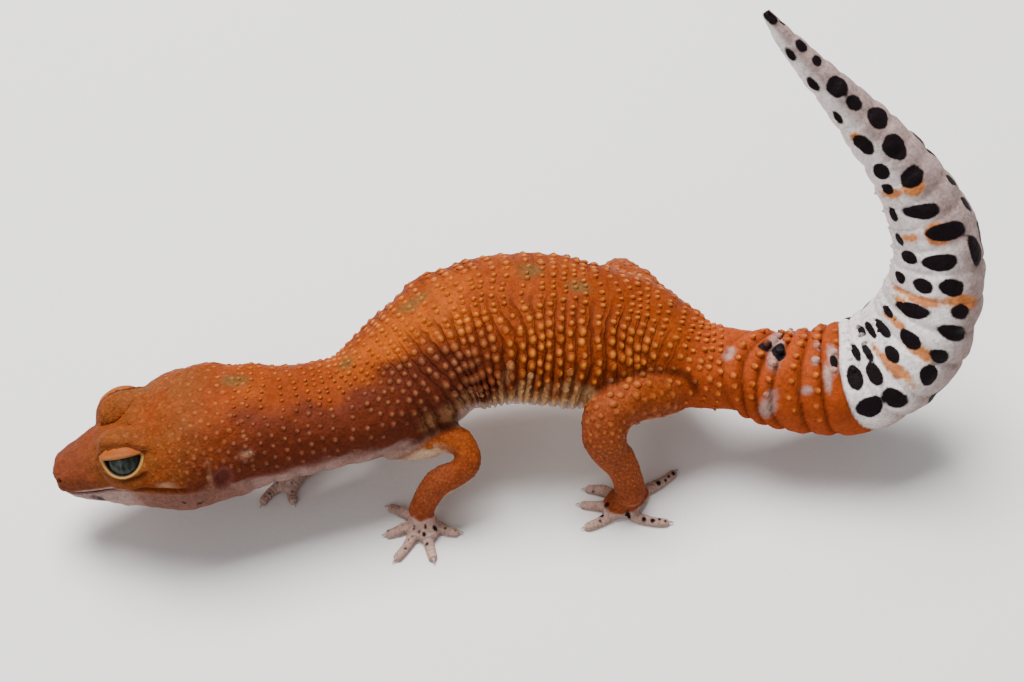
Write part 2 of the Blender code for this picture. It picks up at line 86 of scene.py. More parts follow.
# Distance from the snout, half width, height above the spine, depth below it, and how square
# the section is above and below.
GIRTH = np.array([
    (0.0, 0.4, 0.4, 0.4, 2.0, 2.0), (0.6, 2.5, 1.5, 2.0, 2.3, 2.3), (1.8, 3.8, 2.1, 3.2, 2.5, 2.7),
    (4.0, 4.8, 2.8, 4.1, 2.7, 3.2), (7.5, 6.3, 3.7, 4.8, 2.9, 3.7), (12.5, 8.9, 5.4, 5.6, 3.0, 4.0),
    (17.0, 10.8, 7.6, 6.3, 2.9, 3.8), (21.5, 11.9, 8.9, 6.9, 2.7, 3.4), (26.0, 11.7, 9.1, 7.2, 2.5, 2.8),
    (31.0, 10.6, 8.4, 7.3, 2.4, 2.5), (38.0, 9.6, 7.4, 7.4, 2.3, 2.3), (46.0, 9.4, 6.5, 8.4, 2.3, 2.3),
    (55.5, 11.0, 8.0, 10.3, 2.2, 2.2), (66.5, 12.6, 9.6, 10.6, 2.2, 2.2),
    (77.0, 13.0, 10.1, 10.5, 2.2, 2.2), (87.0, 12.8, 9.9, 10.2, 2.2, 2.2),
    (96.0, 11.0, 8.5, 9.2, 2.2, 2.2), (104.5, 8.5, 7.0, 7.5, 2.1, 2.1), (111.5, 7.0, 6.4, 6.5, 2.0, 2.0),
    (118.0, 8.0, 7.4, 7.4, 2.0, 2.0), (126.0, 9.1, 7.9, 8.4, 2.0, 2.0), (133.5, 10.1, 7.3, 9.3, 2.0, 2.0),
    (141.5, 9.8, 7.2, 9.2, 2.0, 2.0), (150.5, 8.4, 7.3, 7.9, 2.0, 2.0), (159.0, 7.0, 6.8, 6.8, 2.0, 2.0),
    (169.0, 5.5, 5.5, 5.5, 2.0, 2.0), (178.5, 4.2, 4.2, 4.2, 2.0, 2.0), (187.0, 3.1, 3.1, 3.1, 2.0, 2.0),
    (195.5, 2.15, 2.15, 2.15, 2.0, 2.0), (201.0, 1.35, 1.35, 1.35, 2.0, 2.0),
    (203.8, 0.85, 0.85, 0.85, 2.0, 2.0), (205.0, 0.4, 0.4, 0.4, 2.0, 2.0),
])
# Roll of the head in degrees, and where it ends. How far the head's sides lean in towards the
# top, where that ends and how long it fades.
HEAD_ROLL, ROLL_ENDS = 6.0, 48.0
HEAD_LEAN, LEAN_ENDS, LEAN_FADE = 0.30, 33.0, 14.0

# Eyes: distance from the snout, out from the spine, up from it. Radius of the eyeball, radius
# of the dome of its lids and how softly that runs into the head. Degrees by which the eye looks
# up and forward, and by which its opening is turned.
EYE_BACK, EYE_OUT, EYE_UP = 12.9, 5.1, 3.4
EYE_RADIUS, LID_RADIUS, LID_BLEND = 3.4, 4.3, 2.0
EYE_LIFT, EYE_FORWARD, EYE_TILT = 33.0, 4.0, 4.0

# Mouth: distance back from the snout, height of the lips' edge over the spine.
LIPS = ((-4.0, -1.7), (3.0, -1.6), (6.5, -1.0), (10.0, 0.3), (14.0, 1.2), (19.5, 1.4), (24.0, 1.5))
MOUTH_CORNER = 21.0

# Legs: root, joint, ankle, middle of the sole, half widths from the root to the ankle, and how
# far the middle of the lower length is bowed.
LEGS = {
    "left_fore": ((-22.4, -11.8, 12.4), (-4.9, -15.1, 15.6), (-15.5, -20.4, 4.2),
                  (-15.1, -21.0, 1.4), (4.1, 3.2, 2.3, 2.5, 2.05), (-1.4, 0.1, 0.5)),
    "right_fore": ((-25.9, -4.3, 15.0), (-29.7, 4.8, 10.8), (-36.8, -10.0, 4.2),
                   (-37.5, -11.7, 1.4), (3.9, 3.4, 3.0, 2.9, 2.25), (0.0, 0.0, 0.0)),
    "left_hind": ((29.0, -1.1, 16.0), (11.1, -12.5, 19.6), (17.6, -17.1, 4.9),
                  (17.2, -16.3, 1.5), (5.6, 4.9, 4.3, 3.15, 2.5), (0.6, 0.0, 0.2)),
    "right_hind": ((29.0, 2.7, 15.5), (14.4, 19.9, 16.9), (24.0, 22.1, 4.9),
                   (24.0, 22.5, 1.5), (5.4, 5.2, 4.5, 3.7, 2.7), (0.0, 0.0, 0.0)),
}
# Radius of a leg's bend, in half widths at its joint.
BEND = 1.1
# Toes: root from the middle of the sole, heading at the root and at the tip, length with claw.
TOES = {
    "left_fore": ((-2.7, 2.4, 150, 162, 4.6), (-3.0, 0.0, 215, 185, 4.4), (-1.6, -1.1, 251, 226, 6.6),
                  (0.3, -1.1, 280, 290, 6.1), (2.2, 0.2, 318, 374, 4.5)),
    "right_fore": ((2.2, 1.0, 44, 26, 4.4), (0.8, 2.0, 80, 70, 5.0), (-1.5, 1.2, 140, 160, 5.4),
                   (-1.1, -1.2, 208, 258, 5.7), (0.5, -1.0, 263, 301, 4.6)),
    "left_hind": ((-3.2, 2.2, 162, 182, 4.2), (-2.6, -0.8, 176, 170, 5.8), (-2.2, -2.1, 224, 192, 6.2),
                  (0.6, -2.2, 328, 368, 7.4), (3.6, 2.6, 26, 50, 7.0)),
    "right_hind": ((-3.2, -2.2, 198, 178, 4.2), (-2.6, 0.8, 184, 190, 5.8), (-2.2, 2.1, 136, 160, 6.2),
                   (0.4, 2.4, 38, -6, 6.6), (3.6, -2.6, 338, 312, 7.0)),
}
# Palms: heading, half length, half width, half height.
PALMS = {"left_fore": (110, 2.9, 2.4, 1.6), "right_fore": (70, 2.9, 2.4, 1.6),
         "left_hind": (32, 4.2, 2.7, 1.8), "right_hind": (-32, 4.2, 2.7, 1.8)}
# Half widths of a toe at its root and at its pad, and how far its underside goes below the
# floor before it is pressed flat.
TOE_ROOT, TOE_PAD, SOLE_SINK = 0.86, 0.62, 0.16
CLAW_LENGTH = 1.0

# --- Sizes of the looks ------------------------------------------------------------------------

# Columns of the skin's grid as far as this distance from the snout.
COLUMNS = ((31.0, 192), (104.0, 144), (BODY_LENGTH, 96))
# Gap between rings at this distance from the snout.
RING_GAPS = ((0, 0.12), (3, 0.2), (8, 0.24), (30, 0.26), (40, 0.42), (58, 0.38), (66, 0.30),
             (88, 0.30), (96, 0.42), (108, 0.38), (150, 0.42), (205, 0.5))
# Depth of the coat at this distance from the snout, and on the legs and feet.
COAT = ((0, 0.1), (20, 0.15), (34, 0.4), (112, 0.4), (150, 0.25), (205, 0.08))
LEG_COAT, FOOT_COAT = 0.2, 0.0

# Rows of tubercles round the neck and trunk: first, last and gap between them. The flanks'
# wrinkles run between the rows.
FIRST_ROW, LAST_ROW, ROW_GAP = 31.0, 109.5, 1.78
# At a distance from the snout: the gap between the tubercles of a row, the degrees over the side
# at which the row starts, and the radius and the height of its tubercles.
ROW_SPACING = ((31, 1.6), (42, 1.7), (52, 1.85), (96, 1.85), (108, 1.8))
ROW_STARTS = ((31, 10), (45, 6), (54, 9), (62, 6), (68, -5), (98, -8), (108, -30))
ROW_RADIUS = ((30, 0.36), (45, 0.42), (62, 0.50), (96, 0.52), (108, 0.50))
ROW_HEIGHT = ((30, 0.18), (45, 0.24), (62, 0.26), (96, 0.28), (108, 0.34))
# Where the trunk's piece of the coat begins, how many of the tail's rings have tubercles all
# round, and where the rest of them end.
NECK_ENDS, ORANGE_RINGS, TAIL_COAT_ENDS = 66.0, 5, 182.0
# Radius of the tail's tubercles. Where the head's start and end, their spacing, their radius and
# their height over it.
TAIL_RADIUS = ((108, 0.58), (127, 0.60), (133, 0.42), (160, 0.32), (185, 0.2))
HEAD_COAT = (16.5, 31.5)
HEAD_SPACING = ((16.5, 1.0), (20, 1.05), (27, 1.2), (31, 1.45))
HEAD_RADIUS = ((16.5, 0.22), (20, 0.32), (27, 0.42), (31, 0.45))
HEAD_HEIGHT = ((16, 0.12), (24, 0.18), (31, 0.38))
# A tubercle's rings from the skin up: share of its radius, share of its height.
TUBERCLE = ((1.18, -0.25), (1.02, 0.06), (0.78, 0.34), (0.52, 0.68), (0.26, 0.92))

# Edges of the tail's first rings, and how each later ring shrinks. How much farther back the
# rings run on the far side, and the angle at which they run the least far back.
RING_EDGES = [110.0, 112.8, 115.1, 117.3, 120.8, 124.2, 128.7, 132.7, 136.9, 142.7, 147.4, 151.9, 156.4]
RING_GAP, RING_SHRINK = 4.5, 0.965
RING_TILT, RING_TURN = 4.0, 50.0
# Strength of the folds between the rings.
RING_RELIEF = ((110, 1), (127, 1), (131, 0.62), (150, 0.5), (185, 0.3), (205, 0.1))
ORANGE_ENDS = 128.7
# At a distance from the snout: degrees over the side where the dark of the left flank ends, how
# strong it is, and where the cream of the lower flank and the pale underside begin.
DARK_TOP = ((18, 50), (28, 84), (40, 100), (52, 98), (63, 84), (70, 74), (80, 62), (90, 46))
DARK_STRENGTH = ((11, 0), (20, 0.62), (29, 0.92), (45, 0.95), (56, 1), (70, 1))
FAR_DARK_TOP = 40.0
CREAM_TOP = ((54, -6), (64, 4), (75, 22), (97, 22))
BELLY_TOP = ((0, -2), (22, 2), (34, 4), (44, 1), (50, -8), (57, -17), (62, -14), (68, -12), (96, -14),
             (102, -18), (112, -40), (128, -60))

# Ovals on the body: distance, angle, half length, half width, turn of the long way.
BLACK_SPOTS = [
    (115.1, 89, 0.8, 0.8, 0), (117.4, 86, 1.1, 1.7, 0), (117.6, 124, 0.6, 0.8, 0), (127.7, 72, 0.9, 1.1, 0),
    (133.4, 78, 1.0, 1.9, 0), (135.7, 66, 0.8, 1.8, 0), (139.4, 88, 0.8, 1.6, 0), (137.2, 101, 0.7, 0.9, 0),
    (141.9, 73, 0.8, 1.9, 0), (145.7, 76, 0.7, 1.4, 0), (131.2, 49, 1.5, 1.9, 0), (134.6, 42, 1.3, 1.8, 0),
    (131.9, 16, 1.9, 1.6, 0), (135.4, 11, 1.2, 2.2, 25), (139.9, 43, 1.1, 1.3, 0), (144.2, 34, 1.3, 1.7, 0),
    (149.2, 42, 1.1, 2.8, 15), (141.2, 1, 1.3, 1.5, 0), (144.2, 359, 0.8, 1.6, 0),
    (147.9, 352, 0.9, 2.3, 0), (150.9, 348, 0.9, 1.4, 0), (139.2, 325, 0.9, 1.0, 0),
    (154.2, 30, 1.3, 1.7, 0), (154.4, 357, 1.3, 1.9, 0), (154.4, 61, 1.2, 1.1, 0), (159.4, 44, 1.4, 1.5, 0),
    (158.4, 5, 1.4, 2.5, 0), (158.4, 313, 2.0, 1.3, 0), (162.7, 338, 1.4, 3.1, -18),
    (167.2, 356, 1.2, 2.8, -22), (163.2, 52, 1.2, 0.8, 0), (168.0, 42, 1.3, 0.8, 0),
    (172.7, 26, 0.9, 0.9, 0), (175.7, 15, 1.3, 1.2, 0), (172.5, 336, 1.5, 1.9, 0),
    (177.5, 324, 2.0, 1.7, 0), (180.7, 12, 1.8, 1.2, 0), (182.2, 301, 1.7, 1.7, 0),
    (186.5, 320, 1.2, 1.1, 0), (190.0, 319, 1.6, 1.5, 0), (192.5, 14, 1.3, 0.8, 0),
    (194.7, 301, 0.8, 0.8, 0), (198.0, 302, 1.0, 0.8, 0), (198.0, 10, 1.2, 0.7, 0),
    (204.2, 321, 1.5, 1.0, 0), (186.2, 24, 1.0, 0.6, 0), (172.0, 257, 0.8, 0.9, 0),
    (167.7, 278, 0.9, 0.9, 0), (163.7, 281, 1.2, 0.9, 0),
]
# Black spots on the far side of the tail's orange part.
FAR_SPOTS = [(114.5, 160, 0.9, 1.3, 0), (121.5, 205, 1.0, 1.4, 0), (126.0, 150, 1.0, 1.5, 0)]
# Dark and pale marks of the head, on both sides.
JAW_SPOTS = [(6.3, 338, 1.1, 0.55, 0), (20.0, 352, 0.4, 0.25, 0), (22.8, 350, 0.5, 0.25, 0)]
HEAD_PALE = [(18.8, 11, 1.5, 0.6, 0), (30.8, 27, 1.1, 0.8, 0), (25.9, 10, 0.22, 1.6, 0)]
# Pale marks of the tail's orange part, rust streaks of its white part, olive ones of the back.
PALE_SPOTS = [
    (110.9, 79, 0.6, 0.7, 0), (110.6, 69, 0.7, 0.8, 0), (116.9, 92, 1.2, 4.2, 0), (117.7, 12, 1.1, 2.6, 0),
    (121.9, 41, 0.7, 0.8, 0), (124.7, 94, 0.6, 1.2, 0), (123.2, 74, 0.8, 0.9, 0), (125.6, 55, 1.0, 2.4, 0),
    (127.6, 76, 1.3, 2.6, 0), (120.5, 140, 0.8, 1.0, 0), (113.5, 150, 0.7, 0.9, 0), (124.5, 155, 0.9, 1.6, 0),
]
RUST_SPOTS = [
    (138.4, 32, 0.9, 4.4, 10), (145.2, 62, 0.8, 2.4, 0), (143.4, 20, 1.0, 2.6, 0), (151.6, 45, 0.6, 4.5, 0),
    (152.2, 350, 0.9, 3.4, 0), (149.8, 58, 0.9, 1.6, 0), (163.6, 30, 0.7, 2.0, 0), (163.0, 350, 1.9, 2.0, 0),
    (171.6, 20, 0.7, 1.8, 0), (171.2, 345, 1.5, 1.6, 0), (182.6, 14, 0.6, 0.7, 0), (150.5, 200, 0.8, 3.0, 0),
    (140.0, 220, 0.9, 3.6, 0), (161.0, 240, 0.8, 2.4, 0),
]
SMUDGES = [(63.3, 108, 2.0, 1.6, 0), (49.1, 113, 1.8, 1.5, 0), (77.8, 110, 1.8, 1.8, 0),
           (84.6, 95, 1.8, 1.6, 0), (30.3, 108, 2.0, 1.8, 0)]

# Dark dots of the left feet, from the middle of the sole: x, y, radius.
FOOT_DOTS = {
    "left_hind": ((-5.3, 1.8, 0.2), (-4.4, 0.2, 0.38), (-6.4, -1.5, 0.2), (-5.2, -1.8, 0.2),
                  (-8.2, -1.2, 0.2), (-3.2, -1.5, 0.45), (-4.0, -3.0, 0.36), (-4.4, -4.0, 0.3),
                  (-7.6, -4.9, 0.2), (0.1, -3.2, 0.42), (2.7, -3.6, 0.45), (4.1, -3.8, 0.32),
                  (5.2, -3.5, 0.28), (6.1, -3.9, 0.2), (5.4, 3.3, 0.38), (6.6, 4.0, 0.3),
                  (7.2, 4.7, 0.26), (8.0, 5.4, 0.3)),
    "left_fore": ((-2.9, 0.9, 0.24), (-3.4, -0.2, 0.24), (-4.5, -0.6, 0.2), (-5.9, -0.9, 0.24),
                  (-1.7, -1.3, 0.28), (0.2, -1.4, 0.2), (0.0, -2.3, 0.22), (1.7, -1.2, 0.28),
                  (-0.8, -1.9, 0.16), (3.3, -0.7, 0.24), (4.9, -1.0, 0.24), (3.1, -1.4, 0.16),
                  (-1.9, -2.3, 0.2), (-2.5, -2.9, 0.24), (-2.9, -4.4, 0.18), (0.5, -3.6, 0.18)),
}

# Eye opening: half length, height of its straight upper edge over the middle, and how far the
# round lower edge hangs below that edge.
OPENING = (2.8, 1.15, 2.85)
# Width of the lids round the opening: degrees from the front towards the top, width.
LID_BAND = ((0, 0.44), (15, 0.60), (22, 0.80), (30, 1.12), (45, 1.52), (60, 1.44), (90, 1.28),
            (120, 1.24), (135, 1.02), (150, 0.60), (165, 0.48), (190, 0.50), (235, 0.38), (270, 0.31),
            (320, 0.31), (345, 0.36), (360, 0.44))
# Section across a lid: share of its width, distance from the eye's centre, how far it counts as
# the inside.
# The inside of each lid is painted dark, as shade against the eyeball.
LID_PROFILE = (
    (-0.06, 2.95, 1), (-0.08, 3.30, 1), (-0.05, 3.48, 0.6), (0.04, 3.66, 0.1), (0.18, 3.79, 0),
    (0.38, 3.85, 0), (0.60, 3.86, 0), (0.82, 3.80, 0), (1.00, 3.68, 0), (1.10, 3.48, 0),
    (1.10, 3.25, 0), (0.80, 3.08, 0), (0.40, 2.98, 0))
# Ear: distance, angle above the side, half width, half height, lean back of its top.
EAR = (27.4, 9.0, 1.25, 2.2, 14.0)
# Nostril: distance, angle, radius.
NOSTRIL = (1.3, 14.0, 0.36)

# What the camera looks at, the degrees by which it looks down, and how far off it is.
CAMERA_TARGET, CAMERA_LIFT, CAMERA_GAP = (-1.2, 7.5, 12.9), 50.0, 264.45
# Lamps: name, place in metres, power, width. Half width of the floor in metres, and the sky.
LAMPS = (("overhead", (-0.12, 0.26, 0.72), 16.5, 0.5), ("front", (-0.5, -0.7, 0.55), 2.4, 0.6))
FLOOR_HALF = 1.5
SKY = (0.93, 0.96, 1.0, 1)


# --- Curves and sections -----------------------------------------------------------------------

def from_table(table, at):
    """Value of a table of pairs at these places, straight between its rows."""
    return np.interp(at, *np.array(table, float).T)


def smooth(x, knots, values):
    """Cubic Hermite curve through the values at the knots, with slopes from the neighbours."""
    slope = np.gradient(values, knots, axis=0)
    i = np.clip(np.searchsorted(knots, x, side="right") - 1, 0, len(knots) - 2)
    step = knots[i + 1] - knots[i]
    t = (x - knots[i]) / step
    shape = (-1,) + (1,) * (np.ndim(values) - 1)
    t, step = t.reshape(shape), step.reshape(shape)
    return ((2 * t**3 - 3 * t**2 + 1) * values[i] + (t**3 - 2 * t**2 + t) * step * slope[i]
            + (3 * t**2 - 2 * t**3) * values[i + 1] + (t**3 - t**2) * step * slope[i + 1])


def path(points, lengths):
    """Points and unit tangents at these distances along a smooth curve through the points."""
    knots = np.concatenate([[0.0], np.cumsum(np.linalg.norm(np.diff(points, axis=0), axis=1))])
    fine = np.linspace(0.0, knots[-1], 1200)
    curve = smooth(fine, knots, points)
    run = np.concatenate([[0.0], np.cumsum(np.linalg.norm(np.diff(curve, axis=0), axis=1))])
    at = np.interp(lengths, run, fine)
    reach = 0.4
    ahead = smooth(np.clip(at + reach, 0, knots[-1]), knots, points)
    behind = smooth(np.clip(at - reach, 0, knots[-1]), knots, points)
    return smooth(at, knots, points), unit(ahead - behind)


def path_length(points):
    """Length of the smooth curve through the points."""
    knots = np.concatenate([[0.0], np.cumsum(np.linalg.norm(np.diff(points, axis=0), axis=1))])
    curve = smooth(np.linspace(0.0, knots[-1], 1200), knots, points)
    return float(np.linalg.norm(np.diff(curve, axis=0), axis=1).sum())


def unit(vectors):
    """Vectors along the last axis, made one long."""
    return vectors / np.maximum(np.linalg.norm(vectors, axis=-1, keepdims=True), 1e-9)


SPINE_SCALE = path_length(SPINE) / BODY_LENGTH


def frames(distance):
    """Centre, left and up directions of the body's sections at these distances from the snout."""
    centre, back = path(SPINE, distance * SPINE_SCALE)
    left = unit(np.array([0.0, -1.0, 0.0]) + back * back[:, 1:2])
    up = np.cross(left, back)
    roll = np.radians(HEAD_ROLL) * (0.5 + 0.5 * np.cos(np.pi * np.clip(distance / ROLL_ENDS, 0, 1)))
    turn, lift = np.cos(roll)[:, None], np.sin(roll)[:, None]
    return centre, left * turn + up * lift, up * turn - left * lift


def section(distance, around):
    """Distance from the spine to the surface, at matching arrays of distance and angle.

    A ray meets an oval of its own width, height, depth and squareness. On the head the upper
    half leans in, and the lids of the eyes stand out as domes that are blended with it.
    """
    girth = smooth(distance.ravel(), GIRTH[:, 0], GIRTH[:, 1:]).T
    width, above, below, upper, lower = (v.reshape(distance.shape) for v in girth)
    side, rise = np.cos(around), np.sin(around)
    lean = HEAD_LEAN * np.clip((LEAN_ENDS - distance) / LEAN_FADE, 0.0, 1.0)
    width = width * (1.0 - lean * np.clip(rise, 0.0, None) ** 2)
    height = np.where(rise > 0, above, below)
    square = np.where(rise > 0, upper, lower)
    length = (np.abs(side / width) ** square + np.abs(rise / height) ** square) ** (-1.0 / square)
    for eye_out in (EYE_OUT, -EYE_OUT):
        toward = eye_out * side + EYE_UP * rise
        gap = eye_out**2 + EYE_UP**2 + (distance - EYE_BACK) ** 2 - LID_RADIUS**2
        inside = toward**2 - gap
        dome = np.where(toward > 0, toward + np.sign(inside) * np.sqrt(np.abs(inside)), 0.0)
        mix = np.clip(0.5 + 0.5 * (dome - length) / LID_BLEND, 0.0, 1.0)
        length = length + mix * (dome - length) + LID_BLEND * mix * (1.0 - mix)
    return length


def body_point(distance, angle):
    """Point of the body's surface at one distance and angle in degrees."""
    at, turn = np.array([distance]), np.array([np.radians(angle)])
    centre, left, up = frames(at)
    length = section(at, turn)[:, None]
    return (centre + length * (np.cos(turn)[:, None] * left + np.sin(turn)[:, None] * up))[0]


def step(x, low, high):
    """0 below low, 1 above high, and smooth between. With low over high it falls instead."""
    t = np.clip((x - low) / (high - low), 0.0, 1.0)
    return t * t * (3.0 - 2.0 * t)


def window(x, low, high, soft):
    """1 from low to high, fading to 0 over the soft distance outside."""
    return step(x, low - soft, low) * step(x, high + soft, high)


def bell(x, width):
    """Bell curve, 1 at 0 and a third at the width."""
    return np.exp(-(x / width) ** 2)


def ripple(x):
    """Wave that is 0 at whole numbers and 1 half way between them."""
    return 0.5 - 0.5 * np.cos(2 * np.pi * x)


def waves(points, length, seed):
    """Smooth noise of about this wavelength: the mean of sine waves in seeded directions."""
    rng, count = np.random.default_rng(seed), 22
    ways = unit(rng.normal(size=(count, 3))) * (2 * np.pi / length) * rng.uniform(0.7, 1.4, (count, 1))
    return np.sin(points @ ways.T + rng.uniform(0, 2 * np.pi, count)).sum(1) / np.sqrt(0.5 * count)


# --- Meshes ------------------------------------------------------------------------------------

def grid_faces(rows, count, first=0):
    """Quads between neighbouring rings of a grid whose rings are closed."""
    row, column = np.meshgrid(np.arange(rows - 1), np.arange(count), indexing="ij")
    near, after = row * count + column, row * count + (column + 1) % count
    return first + np.stack([near, near + count, after + count, after], -1).reshape(-1, 4)


def fan(ring, centre, flip=False):
    """Triangles from a closed ring of indices to a centre."""
    after = np.roll(ring, -1)
    a, b = (after, ring) if flip else (ring, after)
    return np.stack([a, b, np.full(len(ring), centre)], -1)


def strip(near, far):
    """Triangles between two closed rings of indices that have different counts."""
    m, n = len(near), len(far)
    i, j = np.arange(m), np.arange(n)
    opposite = np.round((i + 0.5) * n / m).astype(int) % n
    facing = np.round((j + 0.5) * m / n).astype(int) % m
    return np.vstack([np.stack([near[i], far[opposite], near[(i + 1) % m]], -1),
                      np.stack([near[facing], far[j], far[(j + 1) % n]], -1)])


def outward(points, faces):
    """Face lists, turned round where the closed shape that they make is inside out."""
    volume = 0.0
    for block in faces:
        a = points[block[:, 0]]
        for k in range(1, block.shape[1] - 1):
            volume += (a * np.cross(points[block[:, k]], points[block[:, k + 1]])).sum()
    return faces if volume > 0 else [block[:, ::-1] for block in faces]


def new_mesh(name, points, faces, scale=MM):
    """Mesh of points in millimetres and arrays of triangles and quads, smooth shaded."""
    mesh = bpy.data.meshes.new(name)
    lists = [face for block in outward(points, faces) for face in block.tolist()]
    mesh.from_pydata((points * scale).tolist(), [], lists)
    mesh.shade_smooth()
    return mesh


def tube(rings):
    """Points and faces of a closed tube: rings of equal counts, and a cone over each end."""
    rows, count = rings.shape[:2]
    first = rings[0].mean(0) + 0.15 * (rings[0].mean(0) - rings[1].mean(0))
    last = rings[-1].mean(0) + 0.15 * (rings[-1].mean(0) - rings[-2].mean(0))
    points = np.vstack([rings.reshape(-1, 3), first, last])
    ring = np.arange(count)
    ends = np.vstack([fan(ring, rows * count, flip=False),
                      fan(ring + (rows - 1) * count, rows * count + 1, flip=True)])
    return points, [grid_faces(rows, count), ends]


def joined(shapes):
    """One shape of several: points and faces, with the faces' indices moved on."""
    points, faces, first = [], [], 0
    for some, blocks in shapes:
        points.append(some)
        faces += [block + first for block in outward(some, blocks)]
        first += len(some)
    return np.vstack(points), faces


def evaluated(thing):
    """Mesh of an object with its modifiers done. The object is removed."""
    graph = bpy.context.evaluated_depsgraph_get()
    mesh = bpy.data.meshes.new_from_object(thing.evaluated_get(graph))
    bpy.data.objects.remove(thing)
    return mesh


def read_points(mesh, what="co"):
    """Positions or normals of a mesh's vertices."""
    flat = np.zeros(len(mesh.vertices) * 3)
    mesh.vertices.foreach_get(what, flat)
    return flat.reshape(-1, 3)


def read_faces(mesh):
    """Count of corners of each face, and the vertex at each corner."""
    total, corners = np.zeros(len(mesh.polygons), int), np.zeros(len(mesh.loops), int)
    mesh.polygons.foreach_get("loop_total", total)
    mesh.loops.foreach_get("vertex_index", corners)
    return total, corners


def relax(points, edges, weight, rounds):
    """Moves points half way to the mean of their neighbours, by their weight, round after round."""
    a, b = edges.T
    count = np.maximum(np.bincount(edges.ravel(), minlength=len(points)), 1)
    points = points.copy()
    for _ in range(rounds):
        mean = np.stack([np.bincount(a, points[b, k], len(points)) + np.bincount(b, points[a, k], len(points))
                         for k in range(3)], -1) / count[:, None]
        points += (0.5 * weight)[:, None] * (mean - points)
    return points


def read_edges(mesh):
    """Pairs of vertex indices."""
    flat = np.zeros(len(mesh.edges) * 2, int)
    mesh.edges.foreach_get("vertices", flat)
    return flat.reshape(-1, 2)


# --- The skin's first shape --------------------------------------------------------------------

def lip_angle(distances):
    """Angle at which the lips' edge meets each ring, easing to level behind the mouth."""
    fine = np.radians(np.linspace(-35.0, 30.0, 80))
    at, turn = np.meshgrid(distances, fine, indexing="ij")
    rise = section(at, turn) * np.sin(turn)
    edge = from_table(LIPS, distances)
    angle = np.array([np.interp(level, heights, fine) for level, heights in zip(edge, rise)])
    return angle * step(distances, 32.0, MOUTH_CORNER)


def ring_distances():
    """Distances of the skin's rings, closer where the gap table asks for it."""
    at, gap = np.array(RING_GAPS).T
    fine = np.linspace(0.0, BODY_LENGTH, 4000)
    count = np.concatenate([[0.0], np.cumsum(np.diff(fine) / np.interp(fine[1:], at, gap))])
    return np.interp(np.linspace(0.0, count[-1], int(count[-1])), count, fine)


def body_shape():
    """Closed grid of the body. Columns lie closer along the flanks, and one follows the lips."""
    distances = ring_distances()
    points, faces, first, last_ring, start = [], [], 0, None, 0.0
    for end, count in COLUMNS:
        rows = distances[(distances >= start) & (distances < end + (end == BODY_LENGTH))]
        turn = np.linspace(0.0, 2 * np.pi, count, endpoint=False)
        around = turn - 0.14 * np.sin(2 * turn) + lip_angle(rows)[:, None] * np.cos(turn)
        centre, left, up = (v[:, None] for v in frames(rows))
        length = section(np.broadcast_to(rows[:, None], around.shape), around)[..., None]
        block = centre + length * (np.cos(around)[..., None] * left + np.sin(around)[..., None] * up)
        points.append(block.reshape(-1, 3))
        faces.append(grid_faces(len(rows), count, first))
        if last_ring is not None:
            faces.append(strip(last_ring, first + np.arange(count)))
        else:
            front_ring = np.arange(count)
        last_ring = first + (len(rows) - 1) * count + np.arange(count)
        first += len(rows) * count
        start = end
    ends, _ = path(SPINE, np.array([0.0, BODY_LENGTH]) * SPINE_SCALE)
    points.append(ends + np.array([(-0.15, 0, 0), (-0.1, 0, 0.1)]))
    faces.append(fan(front_ring, first))
    faces.append(fan(last_ring, first + 1, flip=True))
    return np.vstack(points), faces


def bend_of(leg):
    """Hub, radius and half angle of a leg's bend, its inward and its upper direction."""
    root, joint, ankle = (np.array(p) for p in LEGS[leg][:3])
    radius = LEGS[leg][4][2] * BEND
    upper_way, lower_way = unit(root - joint), unit(ankle - joint)
    half = 0.5 * np.arccos(upper_way @ lower_way)
    inward = unit(upper_way + lower_way)
    return joint + inward * radius / np.sin(half), radius, half, inward, upper_way


def limb_route(leg):
    """Points of a leg's route with a round bend, then the distances of joint, ankle and end."""
    root, _, ankle, sole = (np.array(p) for p in LEGS[leg][:4])
    bow = LEGS[leg][5]
    hub, radius, half, inward, upper_way = bend_of(leg)
    across = unit(np.cross(np.cross(inward, upper_way), inward))
    turn = np.linspace(0.5 * np.pi - half, half - 0.5 * np.pi, 5)[:, None]
    bend = hub + radius * (np.sin(turn) * across - np.cos(turn) * inward)
    points = np.vstack([root, 0.5 * (root + bend[0]), bend, 0.5 * (bend[-1] + ankle) + bow, ankle, sole])
    run = np.linspace(0.0, path_length(points), 400)
    route, _ = path(points, run)
    at_joint, at_ankle = (run[np.argmin(np.linalg.norm(route - p, axis=1))] for p in (bend[2], ankle))
    return points, at_joint, at_ankle, run[-1]


def limb_width(leg, distances):
    """Half width of a leg at these distances from its root."""
    widths = LEGS[leg][4]
    _, at_joint, at_ankle, end = limb_route(leg)
    middle = at_joint + 0.45 * (at_ankle - at_joint)
    stations = np.array([0.0, at_joint * 0.6, at_joint, middle, at_ankle, end])
    return smooth(distances, stations, np.array(widths + (widths[-1] * 0.9,)))


def limb_frames(leg, distances):
    """Centre, then forward, sideways and outward directions of a leg's sections."""
    centre, along = path(limb_route(leg)[0], distances)
    root, joint, ankle = (np.array(p) for p in LEGS[leg][:3])
    normal = unit(np.cross(joint - root, ankle - joint))
    across = unit(normal - along * (along @ normal)[:, None])
    return centre, along, across, np.cross(along, across)


def limb_shape(leg):
    """Tube of a leg from inside the body to inside the palm, a little flat across."""
    end = limb_route(leg)[3]
    run = np.linspace(0.0, end, int(end / 0.5))
    centre, _, across, other = limb_frames(leg, run)
    width = limb_width(leg, run)[:, None, None]
    around = np.linspace(0.0, 2 * np.pi, 40, endpoint=False)[None, :, None]
    return tube(centre[:, None] + 0.94 * width * np.cos(around) * across[:, None]
                + width * np.sin(around) * other[:, None])


